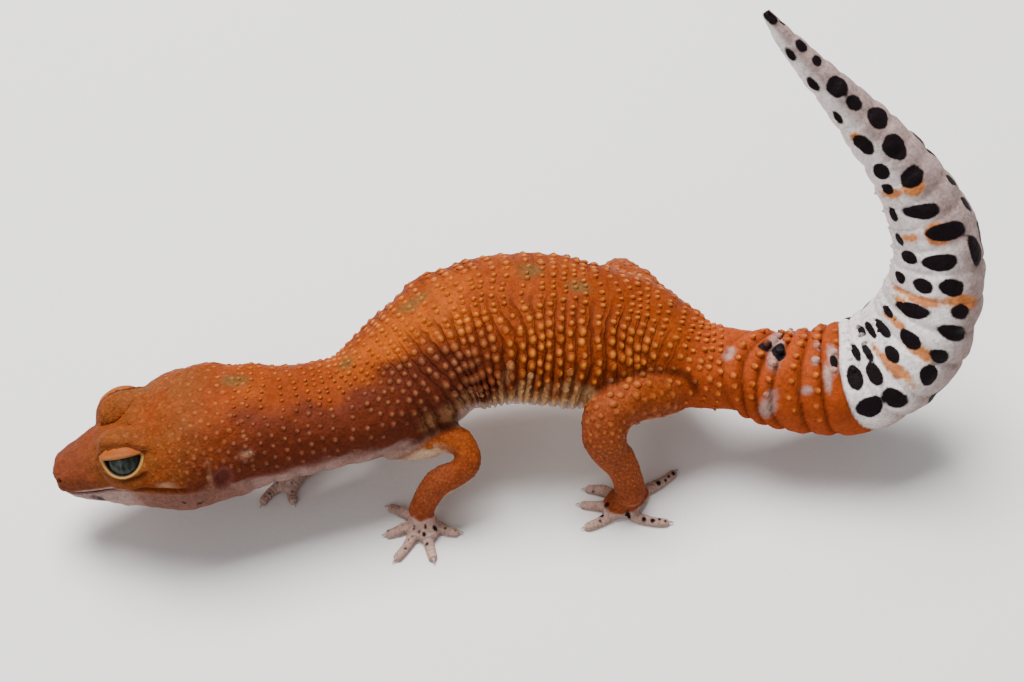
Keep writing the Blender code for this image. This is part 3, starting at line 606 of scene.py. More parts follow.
def toe_route(leg, toe):
    """Points along a toe on the floor plan, from inside the palm to the root of its claw."""
    x, y, start, finish, length = TOES[leg][toe]
    run = np.linspace(0.0, length - 0.8 * CLAW_LENGTH, 26)
    heading = np.radians(start + (finish - start) * run / length)
    steps = np.column_stack([np.cos(heading), np.sin(heading)]) * (run[1] - run[0])
    root = np.array([x, y])
    flat = np.vstack([0.35 * root, 0.7 * root, root + np.cumsum(steps, axis=0) - steps[0]])
    return flat + np.array(LEGS[leg][3][:2]), heading[-1]


def toe_shape(leg, toe):
    """Toe whose half width falls from root to pad, with a round tip, lying on the floor."""
    flat, _ = toe_route(leg, toe)
    along = np.linspace(0.0, 1.0, len(flat))
    width = TOE_ROOT + (TOE_PAD - TOE_ROOT) * along**2 + 0.05 * np.sin(2.5 * np.pi * along)
    to_tip = np.linalg.norm(flat - flat[-1], axis=1) / TOE_PAD
    width = width * np.where(to_tip < 1.0, np.sqrt(np.clip(to_tip * (2.0 - to_tip), 0.02, 1.0)), 1.0)
    way = unit(np.gradient(flat, axis=0))
    across = np.column_stack([-way[:, 1], way[:, 0], np.zeros(len(flat))])[:, None]
    centre = np.column_stack([flat, np.interp(along, [0.0, 0.9, 1.0], [TOE_ROOT, TOE_PAD, 0.5]) - SOLE_SINK])
    around = np.linspace(0.0, 2 * np.pi, 18, endpoint=False)[None, :, None]
    width = width[:, None, None]
    return tube(centre[:, None] + width * (np.cos(around) * across + np.sin(around) * np.array([0, 0, 1.0])))


def foot_shape(leg):
    """Palm and five toes run together by a voxel remesh, then relaxed."""
    heading, long, wide, high = PALMS[leg]
    sole = LEGS[leg][3]
    rise = np.linspace(-0.5 * np.pi, 0.5 * np.pi, 18)[1:-1, None]
    turn = np.linspace(0.0, 2 * np.pi, 28, endpoint=False)[None]
    x, y = long * np.cos(rise) * np.cos(turn), wide * np.cos(rise) * np.sin(turn)
    c, s = np.cos(np.radians(heading)), np.sin(np.radians(heading))
    z = np.broadcast_to(high * np.sin(rise), x.shape)
    palm = np.stack([sole[0] + c * x - s * y, sole[1] + s * x + c * y, high - 0.35 + z], -1)
    points, faces = joined([tube(palm)] + [toe_shape(leg, toe) for toe in range(len(TOES[leg]))])
    lists = [face for block in faces for face in block.tolist()]
    mesh = bpy.data.meshes.new(leg)
    mesh.from_pydata(points.tolist(), [], lists)
    thing = bpy.data.objects.new(leg, mesh)
    bpy.context.scene.collection.objects.link(thing)
    remesh = thing.modifiers.new("Run together", "REMESH")
    remesh.mode = "VOXEL"
    remesh.voxel_size = 0.26
    mesh = evaluated(thing)
    flat = relax(read_points(mesh), read_edges(mesh), np.ones(len(mesh.vertices)), 4)
    mesh.vertices.foreach_set("co", flat.ravel())
    mesh.update()
    mesh.vertices.foreach_set("co", (flat + 0.09 * read_points(mesh, "normal")).ravel())
    return mesh


def raw_skin():
    """Body, legs and feet as one closed mesh, in millimetres, before the fillets where they meet are made."""
    kinds = [bpy.data.materials.new(kind) for kind in ("body_part", "leg_part", "foot_part")]
    group = bpy.data.collections.new("limbs")
    bpy.context.scene.collection.children.link(group)

    def add(name, mesh, kind, where):
        mesh.materials.clear()
        mesh.materials.append(kinds[kind])
        thing = bpy.data.objects.new(name, mesh)
        where.objects.link(thing)
        return thing

    body = add("body", new_mesh("body", *body_shape(), scale=1.0), 0, bpy.context.scene.collection)
    for leg in LEGS:
        add(leg, new_mesh(leg, *limb_shape(leg), scale=1.0), 1, group)
        add(leg + "_foot", foot_shape(leg), 2, group)
    union = body.modifiers.new("Union", "BOOLEAN")
    union.operation = "UNION"
    union.solver = "EXACT"
    union.material_mode = "TRANSFER"
    union.operand_type = "COLLECTION"
    union.collection = group
    mesh = evaluated(body)
    for thing in list(group.objects):
        bpy.data.objects.remove(thing)
    bpy.data.collections.remove(group)
    return mesh, kinds


def filleted(mesh):
    """Points of the raw skin, relaxed near the lines where leg meets body and foot meets leg and
    inside each leg's bend. Also their gaps to the line where leg meets body."""
    points, edges = read_points(mesh), read_edges(mesh)
    kind = np.zeros(len(mesh.polygons), int)
    mesh.polygons.foreach_get("material_index", kind)
    total, corner = read_faces(mesh)
    of_corner = np.repeat(kind, total)
    has = np.stack([np.bincount(corner, of_corner == k, len(points)) > 0 for k in range(3)])
    weight = np.zeros(len(points))
    root_gap = np.zeros(len(points))
    for seam, reach in ((has[1] & has[2], 2.2), (has[0] & has[1], 1.7)):
        line = points[seam]
        for rows in np.array_split(np.arange(len(points)), 60):
            root_gap[rows] = np.linalg.norm(points[rows, None] - line[None], axis=2).min(1)
        weight = np.maximum(weight, step(root_gap, reach, 0.2 * reach))
    for leg in LEGS:
        weight = np.maximum(weight, step(np.linalg.norm(points - bend_of(leg)[0], axis=1), 2.8, 1.2))
    return relax(points, edges, weight, 45), root_gap


# --- Where a point of the skin lies ------------------------------------------------------------

def body_places(points):
    """Distance from the snout, angle round the spine and height over the body, of any points."""
    sample = np.arange(0.0, BODY_LENGTH + 0.1, 0.4)
    line, _ = path(SPINE, sample * SPINE_SCALE)
    nearest = np.concatenate([
        np.argmin((line**2).sum(1) - 2.0 * block @ line.T, axis=1) for block in np.array_split(points, 40)])
    distance = sample[nearest]
    for _ in range(3):
        centre, left, up = frames(distance)
        ahead = np.cross(up, left)
        distance = np.clip(distance + ((points - centre) * ahead).sum(1) / SPINE_SCALE, 0.0, BODY_LENGTH)
    centre, left, up = frames(distance)
    side, rise = ((points - centre) * left).sum(1), ((points - centre) * up).sum(1)
    angle = np.arctan2(rise, side)
    reach = section(distance, angle)
    return distance, angle, np.hypot(side, rise) - reach, rise, reach


def limb_places(points):
    """Index of the nearest leg, the distance along it, and that distance less its ankle's."""
    best = np.full(len(points), np.inf)
    leg_of, run_of, from_ankle = np.zeros(len(points), int), np.zeros(len(points)), np.zeros(len(points))
    for index, leg in enumerate(LEGS):
        route, _, at_ankle, end = limb_route(leg)
        run = np.linspace(0.0, end, 90)
        line, _ = path(route, run)
        gap2 = ((points[:, None] - line[None]) ** 2).sum(2)
        near = gap2.argmin(1)
        nearer = gap2.min(1) < best
        best = np.where(nearer, gap2.min(1), best)
        leg_of, run_of = np.where(nearer, index, leg_of), np.where(nearer, run[near], run_of)
        from_ankle = np.where(nearer, run[near] - at_ankle, from_ankle)
    return leg_of, run_of, from_ankle


def toe_places(points, leg_of):
    """Nearest toe of the leg's own foot, the distance along it, and the gap to its middle line."""
    toe_of, run_of, gap_of = (np.full(len(points), v) for v in (-1, 0.0, 9.0))
    for index, leg in enumerate(LEGS):
        mine = np.flatnonzero(leg_of == index)
        for toe in range(len(TOES[leg])):
            flat, _ = toe_route(leg, toe)
            run = np.concatenate([[0.0], np.cumsum(np.linalg.norm(np.diff(flat, axis=0), axis=1))])
            gap = np.linalg.norm(points[mine, None, :2] - flat[None], axis=2)
            near, least = gap.argmin(1), gap.min(1)
            nearer = least < gap_of[mine]
            rows = mine[nearer]
            toe_of[rows], run_of[rows], gap_of[rows] = toe, run[near[nearer]], least[nearer]
    return toe_of, run_of, gap_of


def eye_axes(side):
    """Centre of an eye, then its forward, upward and outward directions."""
    _, left, up = (v[0] for v in frames(np.array([EYE_BACK])))
    sign = 1.0 if side == "left" else -1.0
    lift, turn = np.radians(EYE_LIFT), np.radians(EYE_FORWARD)
    forward = np.cross(left, up)
    look = unit((left * sign * np.cos(turn) + forward * np.sin(turn)) * np.cos(lift) + up * np.sin(lift))
    ahead = unit(forward - look * (forward @ look))
    upward = np.cross(ahead, look) * sign
    c, s = np.cos(np.radians(EYE_TILT)), np.sin(np.radians(EYE_TILT))
    return np.array(EYES[side]), ahead * c + upward * s, upward * c - ahead * s, look


def opening_reach(c, s):
    """How far the opening's edge lies from its middle, in the direction (c, s): the nearer of a
    straight upper edge and half an oval that hangs from it, with barely rounded corners."""
    long, high, deep = OPENING
    lid = high / np.maximum(s, 1e-4)
    a = (c / long) ** 2 + (s / deep) ** 2
    b = s * high / deep**2
    bowl = (b + np.sqrt(b * b + a * (1.0 - (high / deep) ** 2))) / a
    return np.where(s > 1e-4, (lid**-9.0 + bowl**-9.0) ** (-1.0 / 9.0), bowl)


def lid_band(turn):
    """Width of the lids in the direction turn: a deep brow above, a thin rim below, a beak at the
    front corner and a thicker fold behind."""
    long, high, _ = OPENING
    corner = np.arctan2(high, long)
    turn = np.mod(turn, 2 * np.pi)
    upper = step(turn, 0.5 * corner, corner + 0.12) * step(turn, np.pi - 0.6 * corner, np.pi - corner - 0.12)
    front = bell(np.angle(np.exp(1j * (turn - corner))), 0.30)
    knots, widths = np.array(LID_BAND).T
    return smooth(np.degrees(turn), knots, widths), upper, front


def eye_places(points, side):
    """How far outside the opening a point lies less the lids' width there, its distance from the
    eye's centre, whether it faces outwards, and its height over the opening's middle."""
    centre, ahead, upward, look = eye_axes(side)
    way = points - centre
    gap = np.linalg.norm(way, axis=1)
    flat = way / np.maximum(gap, 1e-6)[:, None] * (EYE_RADIUS + 0.3)
    x, y = flat @ ahead, flat @ upward
    turn = np.arctan2(y, x)
    beyond = np.hypot(x, y) - opening_reach(np.cos(turn), np.sin(turn)) - 1.1 * lid_band(turn)[0]
    return beyond, gap, (way @ look) / np.maximum(gap, 1e-6), y


def ovals(table, distance, angle, reach):
    """Gap in millimetres to the edge of the nearest oval of a table, negative inside it."""
    least = np.full(len(distance), 9.0)
    for at, turn, long, wide, tilt in table:
        along = distance - at
        across = reach * np.angle(np.exp(1j * (angle - np.radians(turn))))
        c, s = np.cos(np.radians(tilt)), np.sin(np.radians(tilt))
        ratio = np.hypot((c * along + s * across) / long, (c * across - s * along) / wide)
        least = np.minimum(least, (ratio - 1.0) * min(long, wide))
    return least


def hidden_spots():
    """Seeded ovals for the side of the tail that BLACK_SPOTS leaves out, one row to a ring."""
    rng = np.random.default_rng(11)
    rows = []
    for at in np.arange(132.0, 204.0, 4.4):
        reach = float(section(np.array([at]), np.array([np.pi]))[0])
        for turn in np.arange(112.0, 300.0, max(42.0, 190.0 / reach)):
            place = turn + rng.uniform(-9, 9)
            if (132 if at < 152 else 112) < place < (262 if at > 160 else 300):
                size = min(1.7, 0.25 * reach + 0.3) * rng.uniform(0.65, 1.1)
                rows.append((at + rng.uniform(-1.2, 1.2), place, size, size * rng.uniform(0.9, 1.6),
                             rng.uniform(-20, 20)))
    return rows + FAR_SPOTS


def ring_edges():
    """Distances of the folds that part the tail's rings, shrinking towards the tip."""
    edges, gap = list(RING_EDGES), RING_GAP
    while edges[-1] < BODY_LENGTH - 4.0:
        gap *= RING_SHRINK
        edges.append(edges[-1] + gap)
    return np.array(edges)


class Places:
    """Everything that the skin's shape and colours need to know of each of its points."""

    def __init__(self, points, normals):
        self.points, self.normals = points, normals
        self.distance, self.angle, self.over, self.rise, self.reach = body_places(points)
        self.limb = step(self.over, 0.25, 2.2)
        self.side = np.degrees(np.arcsin(np.clip(np.sin(self.angle), -1, 1)))
        self.leg, self.run, self.from_ankle = limb_places(points)
        self.toe, self.toe_run, self.toe_gap = toe_places(points, self.leg)
        self.foot = self.limb * step(self.from_ankle, -1.6, 0.4)
        self.body = 1.0 - self.limb
        self.over_lips = self.rise - from_table(LIPS, self.distance)
        self.edges = ring_edges()
        tilt = RING_TILT * step(self.distance, 152.0, 128.0)
        self.ring_at = self.distance - tilt * (1.0 - np.cos(self.angle - np.radians(RING_TURN)))
        ring = np.clip(np.searchsorted(self.edges, self.ring_at) - 1, 0, len(self.edges) - 2)
        self.ring_share = np.clip((self.ring_at - self.edges[ring]) / np.diff(self.edges)[ring], 0.0, 1.0)
        self.fold_gap = np.abs(self.ring_at[:, None] - self.edges[None]).min(1)
        self.row_at = self.distance + 0.45 * waves(points * (1.0, 1.0, 0.5), 14.0, 3)
        near, far = np.cos(self.angle) > 0, np.where(self.angle > 0, 180.0, -180.0)
        self.flank = np.where(near, np.degrees(self.angle), far - np.degrees(self.angle))
        self.near = step(np.cos(self.angle), -0.1, 0.1)
        self.row = (self.row_at + 0.09 * waves(points, 2.4, 4) - FIRST_ROW) / ROW_GAP

    def left_right(self, at, angle):
        """Gap to a place on the body's side, or to its mirror on the other side."""
        return np.minimum(*(np.linalg.norm(self.points - body_point(at, turn), axis=1)
                            for turn in (angle, 180.0 - angle)))


# --- The skin's folds --------------------------------------------------------------------------

def ear_ratio(p):
    """How many times the ear's oval must grow to reach a point."""
    at, turn, wide, high, lean = EAR
    along = p.distance - at
    up = p.reach * np.radians(p.side - turn)
    c, s = np.cos(np.radians(lean)), np.sin(np.radians(lean))
    return np.hypot((c * along - s * up) / wide, (c * up + s * along) / high)


def folds(p):
    """Height of each point's folds over the plain skin, and how deep in a fold it lies, which sets the shade
    painted into the fold.
    """
    body, points = p.body, p.points
    height = 0.10 * waves(points, 7.0, 1) * step(p.distance, 8.0, 30.0) + 0.04 * waves(points, 2.6, 2)

    # Rings of the tail, each fullest behind its middle.
    rings = body * step(p.ring_at, 108.5, 111.0) * from_table(RING_RELIEF, p.distance)
    swelling = (0.36 + 0.08 * step(p.distance, 126.0, 133.0)) * np.sin(np.pi * p.ring_share**1.3) ** 0.7
    height += rings * (swelling - 0.40 * bell(p.fold_gap, 0.42))
    fold = 0.8 * rings * bell(p.fold_gap, 0.34)

    # Wrinkles of the flank, between the rows of tubercles, and wider pleats low on it.
    fine = ripple(p.row) ** 3
    patch = 0.75 + 0.25 * waves(points, 8.0, 9)
    flank = body * window(p.distance, 62.0, 86.0, 14.0) * window(p.side, -8.0, 42.0, 32.0) * patch
    height -= 0.30 * flank * fine
    fold = np.maximum(fold, 0.5 * flank * fine**2)
    wide = ripple(p.row + 0.06 * waves(points, 3.2, 31)) ** 1.5
    deep = 0.65 + 0.35 * waves(points, 4.5, 32)
    pleat = body * window(p.distance, 67.0, 94.0, 7.0) * window(p.side, -34.0, 2.0, 20.0)
    height += pleat * (0.40 - 0.75 * deep * wide)
    fold = np.maximum(fold, 0.55 * pleat * deep * wide**2)

    # Low swellings: shoulder, snout before the eyes, bridge between them, crown, chin, brows.
    height += 0.10 * body * window(p.distance, 53.5, 62.0, 3.0) * window(p.side, -22.0, 12.0, 12.0)
    height += 0.45 * body * window(p.distance, 7.5, 10.5, 4.5) * step(p.side, 22.0, 48.0)
    height += 0.85 * body * window(p.distance, 10.5, 14.5, 3.5) * window(p.angle, 1.22, 1.92, 0.35)
    height += 0.32 * body * window(p.distance, 16.0, 23.0, 4.0) * window(p.angle, 1.45, 2.2, 0.5)
    height += 0.30 * body * window(p.distance, 3.0, 10.0, 3.0) * window(p.over_lips, -4.0, -1.6, 1.0)
    for side in EYES:
        way = points - eye_axes(side)[0]
        gap = np.linalg.norm(way, axis=1)
        height += 0.08 * body * bell(gap - 5.0, 0.65) * step(way[:, 2] / gap, 0.45, 0.8)

    # Cross lines low on the neck.
    neck = body * window(p.distance, 31.0, 47.0, 4.0) * step(p.side, 32.0, 0.0)
    lines = (1.0 - ripple((p.row * ROW_GAP + FIRST_ROW) / 3.4)) ** 3
    height -= 0.22 * neck * lines
    fold = np.maximum(fold, 0.35 * neck * lines)

    # Mouth with its two lips, and the line behind its corner.
    mouth = body * step(p.distance, MOUTH_CORNER + 1.2, MOUTH_CORNER - 0.6)
    line = bell(p.over_lips, 0.24)
    height += 0.13 * mouth * window(p.over_lips, 0.35, 1.1, 0.3)
    height += 0.10 * mouth * window(p.over_lips, -1.0, -0.3, 0.3)
    height -= 0.5 * mouth * line
    fold = np.maximum(fold, mouth * line * step(p.distance, 26.0, 8.0))
    cheek = body * window(p.distance, MOUTH_CORNER, 26.5, 1.5)
    jaw_line = bell(p.rise - np.interp(p.distance, [20, 27], [1.3, 2.1]), 0.35)
    height -= 0.14 * cheek * jaw_line
    fold = np.maximum(fold, 0.4 * cheek * jaw_line)

    # Nostrils and ears, each with a low rim.
    nostril = p.left_right(*NOSTRIL[:2])
    height += 0.10 * bell(nostril - 0.62, 0.25) - 0.5 * bell(nostril, NOSTRIL[2])
    fold = np.maximum(fold, bell(nostril, NOSTRIL[2] * 0.9))
    ear = ear_ratio(p)
    height += body * (0.16 * bell(ear - 1.35, 0.3) - 0.8 * step(ear, 1.2, 0.4))
    fold = np.maximum(fold, 0.5 * body * step(ear, 1.0, 0.5))

    # Lines across the legs at joint and ankle, and pads across the toes.
    bend = np.zeros(len(points))
    for index, leg in enumerate(LEGS):
        _, at_joint, at_ankle, _ = limb_route(leg)
        mine = p.limb * (p.leg == index)
        at_bends = 0.5 * window(p.run, at_joint - 1, at_joint + 1, 3.0)
        at_bends = at_bends + window(p.run, at_ankle - 2.0, at_ankle, 1.5)
        bend = np.maximum(bend, mine * at_bends)
    lines = (1.0 - ripple((p.run + 0.3 * waves(points, 3.0, 6)) / 1.1)) ** 2
    height -= 0.12 * bend * lines
    fold = np.maximum(fold, 0.35 * bend * lines)
    height -= 0.05 * p.foot * step(p.toe_run, 1.0, 2.0) * (1.0 - ripple(p.toe_run / 0.95))
    return height, fold


def open_eyes(p, points, fold):
    """Sinks the skin behind each eyeball inside its lids, and grooves it round them, with shade painted into
    the groove.
    """
    lidded = np.zeros(len(points))
    for side in EYES:
        centre = eye_axes(side)[0]
        beyond, gap, facing, upward = eye_places(points, side)
        near = (gap < 6.0) & (facing > 0.15) & (p.distance < 24.0)
        sink = step(beyond, -0.15, -0.5) * near
        groove = bell(beyond - 0.10, 0.24) * near * step(gap, 6.0, 5.0)
        groove = groove * (0.35 + 0.65 * step(p.distance - EYE_BACK + 1.4 * (upward > 0), -2.6, 0.0))
        scale = (gap + sink * (EYE_RADIUS - 0.5 - gap) - 0.34 * groove) / np.maximum(gap, 1e-6)
        points = np.where(near[:, None], centre + (points - centre) * scale[:, None], points)
        fold = np.maximum(fold, 0.95 * groove)
        lidded = np.maximum(lidded, step(beyond, 0.9, 0.3) * near)
    return points, fold, lidded


# --- Markings, painted shade and painted highlight ---------------------------------------------

def foot_dots(p):
    """Gap to the nearest dark dot of the feet: the listed ones, or seeded ones along the toes."""
    least = np.full(len(p.points), 9.0)
    rng = np.random.default_rng(5)
    for index, leg in enumerate(LEGS):
        sole = np.array(LEGS[leg][3])
        dots = FOOT_DOTS.get(leg)
        if dots is None:
            places = [toe_route(leg, toe)[0][at] - sole[:2] for toe in range(5) for at in (7, 15, 21)]
            dots = [(*(place + rng.uniform(-0.3, 0.3, 2)), rng.uniform(0.10, 0.2)) for place in places]
        above = (p.foot > 0.5) & (p.leg == index) & (p.points[:, 2] < 3.6)
        above = above & (p.normals[:, 2] > (0.2 if leg == "left_fore" else -0.1))
        for x, y, radius in dots:
            gap = np.hypot(p.points[:, 0] - sole[0] - x, p.points[:, 1] - sole[1] - y) - radius
            least = np.where(above, np.minimum(least, gap), least)
    return least


def markings(p, fold, lidded):
    """What the finishes need at each point: gaps to spots, how much of each colour, and where shade and
    highlight are painted.
    """
    body, limb, s, side, upness = p.body, p.limb, p.distance, p.side, p.normals[:, 2]

    def gap_to(table, both_sides=False):
        gap = ovals(table, s, p.angle, p.reach)
        return np.minimum(gap, ovals(table, s, np.pi - p.angle, p.reach)) if both_sides else gap

    spots = gap_to(BLACK_SPOTS + hidden_spots()) - 0.08 - 0.16 * window(s, 138.0, 150.0, 3.0)
    spots = np.minimum(np.where(body > 0.5, spots, 9.0), np.maximum(gap_to(JAW_SPOTS, True), -0.01))
    white = (p.ring_at - ORANGE_ENDS) * (s > 100) - 40.0 * (s <= 100)
    on_tail = body * step(s, 100.0, 108.0)

    top = FAR_DARK_TOP + p.near * (from_table(DARK_TOP, s) - FAR_DARK_TOP)
    dark = body * step(p.flank + 7.0 * waves(p.points, 7.0, 12), top + 6.0, top - 60.0) ** 1.1
    dark = dark * from_table(DARK_STRENGTH, s) * (0.08 + 0.92 * step(s, 85.0, 60.0)) * step(s, 104.0, 90.0)
    top = from_table(CREAM_TOP, s)
    cream = body * step(p.flank + 7.0 * waves(p.points, 4.0, 13), top, top - 38.0)
    cream = cream * window(s, 61.0, 97.0, 9.0)
    cream = np.maximum(cream, 0.45 * body * window(s, 55.0, 62.0, 4.0) * step(side, 18.0, -6.0))

    top = from_table(BELLY_TOP, s)
    belly = body * step(side + 3.0 * waves(p.points, 5.0, 14), top + 8.0, top - 16.0) * step(s, 14.0, 24.0)
    throat = body * step(p.over_lips, -0.2, -1.4) * step(s, 8.0, 16.0) * step(s, 33.0, 28.0)
    under_limb = 0.9 * limb * step(upness, -0.1, -0.55)
    inner_arm = limb * (p.leg == 0) * step(p.run, 15.5, 9.0)
    inner_arm = inner_arm * step(upness + 0.12 * waves(p.points, 2.5, 15), 0.78, 0.0)
    lip = 0.85 * body * window(p.over_lips, 0.10, 0.65, 0.35) * window(s, 4.5, 10.5, 3.5)
    jaw_pale = body * step(p.over_lips, 0.0, -0.3) * step(s, 19.0, 9.0)

    wander = 0.25 * waves(p.points, 2.2, 8)
    fore_end = step(p.from_ankle + wander, -0.8, 1.6)
    hind_end = step(p.points[:, 2] + 0.6 * wander, 2.6, 1.2)
    paw = limb * np.where(p.leg >= 2, hind_end, fore_end) * step(p.from_ankle, -1.8, 0.4)
    back = body * step(side, 38.0, 70.0)
    # Painted highlight on the tops of the upper legs, where they face up.
    limb_top_highlight = limb * step(p.run, 24.0, 12.0) * step(upness, -0.1, 0.6)
    flank_wrinkles = window(s, 62.0, 92.0, 16.0) * window(side, -20.0, 62.0, 28.0) * (0.3 + 0.7 * p.near)
    shoulder_wrinkles = window(s, 54.0, 63.0, 3.0) * window(side, -18.0, 14.0, 14.0)
    return {
        "spots": np.minimum(spots, foot_dots(p)), "white": np.where(body > 0.5, white, -40.0),
        "rust": gap_to(RUST_SPOTS), "pale": np.minimum(gap_to(PALE_SPOTS), gap_to(HEAD_PALE, True)),
        "smudge": gap_to(SMUDGES), "dark": dark, "cream": cream,
        "belly": np.maximum.reduce([belly, throat, under_limb, inner_arm]), "lip": np.maximum(lip, jaw_pale),
        "row": p.row, "wrinkled": body * np.maximum(flank_wrinkles, shoulder_wrinkles),
        "ear": body * step(ear_ratio(p), 1.25, 0.9), "fold": fold, "limb": limb, "paw": paw,
        "head": body * step(s, 34.0, 20.0), "snout": body * step(s, 13.0, 3.0), "back": back,
        # A brighter patch of the back's own colour, plus the painted highlight on the legs' tops.
        "bright": back * window(s, 54.0, 64.0, 12.0) + limb_top_highlight,
        # shade: painted shade on the lower side of the tail.
        "tail": on_tail, "shade": on_tail * step(side, 28.0, -42.0), "lid": lidded,
        "toe": p.toe_run * p.foot, "crown": np.zeros(len(s)),
    }


def set_attributes(mesh, values):
    """Stores each array of numbers as an attribute on the mesh's points."""
    for name, numbers in values.items():
        mesh.attributes.new(name, "FLOAT", "POINT").data.foreach_set("value", numbers.astype(np.float32))


def set_unwrap(mesh, corner_places):
    """Gives a mesh its only UV map, from a place for each corner."""
    for layer in list(mesh.uv_layers):
        mesh.uv_layers.remove(layer)
    mesh.uv_layers.new(name="OFBake").data.foreach_set("uv", corner_places.astype(np.float32).ravel())


# --- Unwrap ------------------------------------------------------------------------------------

BODY_BAND = (0.01, 0.60)
LEG_BAND = (0.62, 0.78)
FOOT_BAND = (0.80, 0.99)


def unwrap(p, corners, total):
    """Corner places on the skin's unwrap: the body rolled out along its spine, each leg rolled
    out along its route, and the feet flattened from six sides, palm and toes apart."""
    first = np.concatenate([[0], np.cumsum(total)[:-1]])
    face_of = np.repeat(np.arange(len(total)), total)

    def face_mean(values):
        return np.add.reduceat(values[corners], first) / total

    def unbroken(turn):
        """Degrees at each corner, with no face that goes round from 360 to 0."""
        turn = np.mod(turn, 360.0)[corners]
        low = np.minimum.reduceat(turn, first)[face_of]
        return np.where(turn - low > 180.0, turn - 360.0, turn)

    uv = np.zeros((len(corners), 2))
    limb_face, foot_face = face_mean(p.limb) > 0.5, face_mean(p.foot) > 0.5
    turn = unbroken(np.degrees(p.angle) + 90.0)
    uv[:, 0] = 0.01 + 0.98 * (p.distance[corners] + 0.5) / (BODY_LENGTH + 1.0)
    uv[:, 1] = BODY_BAND[0] + (BODY_BAND[1] - BODY_BAND[0]) * (turn + 15.0) / 390.0
    for index, leg in enumerate(LEGS):
        end = limb_route(leg)[3]
        centre, along, across, other = limb_frames(leg, np.clip(p.run, 0.0, end))
        out = p.points - centre
        spin = unbroken(np.degrees(np.arctan2((out * other).sum(1), (out * across).sum(1))))
        fine = np.clip((out * along).sum(1) + p.run, 0.0, end)[corners]
        mine = (limb_face & (face_mean(p.leg * 1.0).round() == index))[face_of]
        uv[mine, 0] = (0.01 + 0.245 * index + 0.23 * (fine / end))[mine]
        uv[mine, 1] = (LEG_BAND[0] + (LEG_BAND[1] - LEG_BAND[0]) * (spin + 30.0) / 390.0)[mine]
    normal = np.stack([face_mean(p.normals[:, k]) for k in range(3)], -1)
    axis = np.abs(normal).argmax(1)
    way = axis * 2 + (np.take_along_axis(normal, axis[:, None], 1)[:, 0] > 0)
    toe = np.where(face_mean(p.toe_gap) < 1.15, p.toe[corners[first]], 5)
    leg_face = p.leg[corners[first]]
    cell = np.array([0.98 / 36, (FOOT_BAND[1] - FOOT_BAND[0]) / len(LEGS)])
    for index, piece, look in np.ndindex(len(LEGS), 6, 6):
        faces = foot_face & limb_face & (leg_face == index) & (toe == piece) & (way == look)
        rows = faces[face_of]
        if not rows.any():
            continue
        flat = np.delete(p.points[corners[rows]], look // 2, axis=1)
        low, high = flat.min(0), flat.max(0)
        flat = (flat - low) / np.maximum(high - low, 0.2)
        corner = cell * (piece * 6 + look, index) + (0.01, FOOT_BAND[0])
        uv[rows] = corner + flat * cell * 0.92
    return np.clip(uv, 0.001, 0.999)


# --- The coat of tubercles ---------------------------------------------------------------------

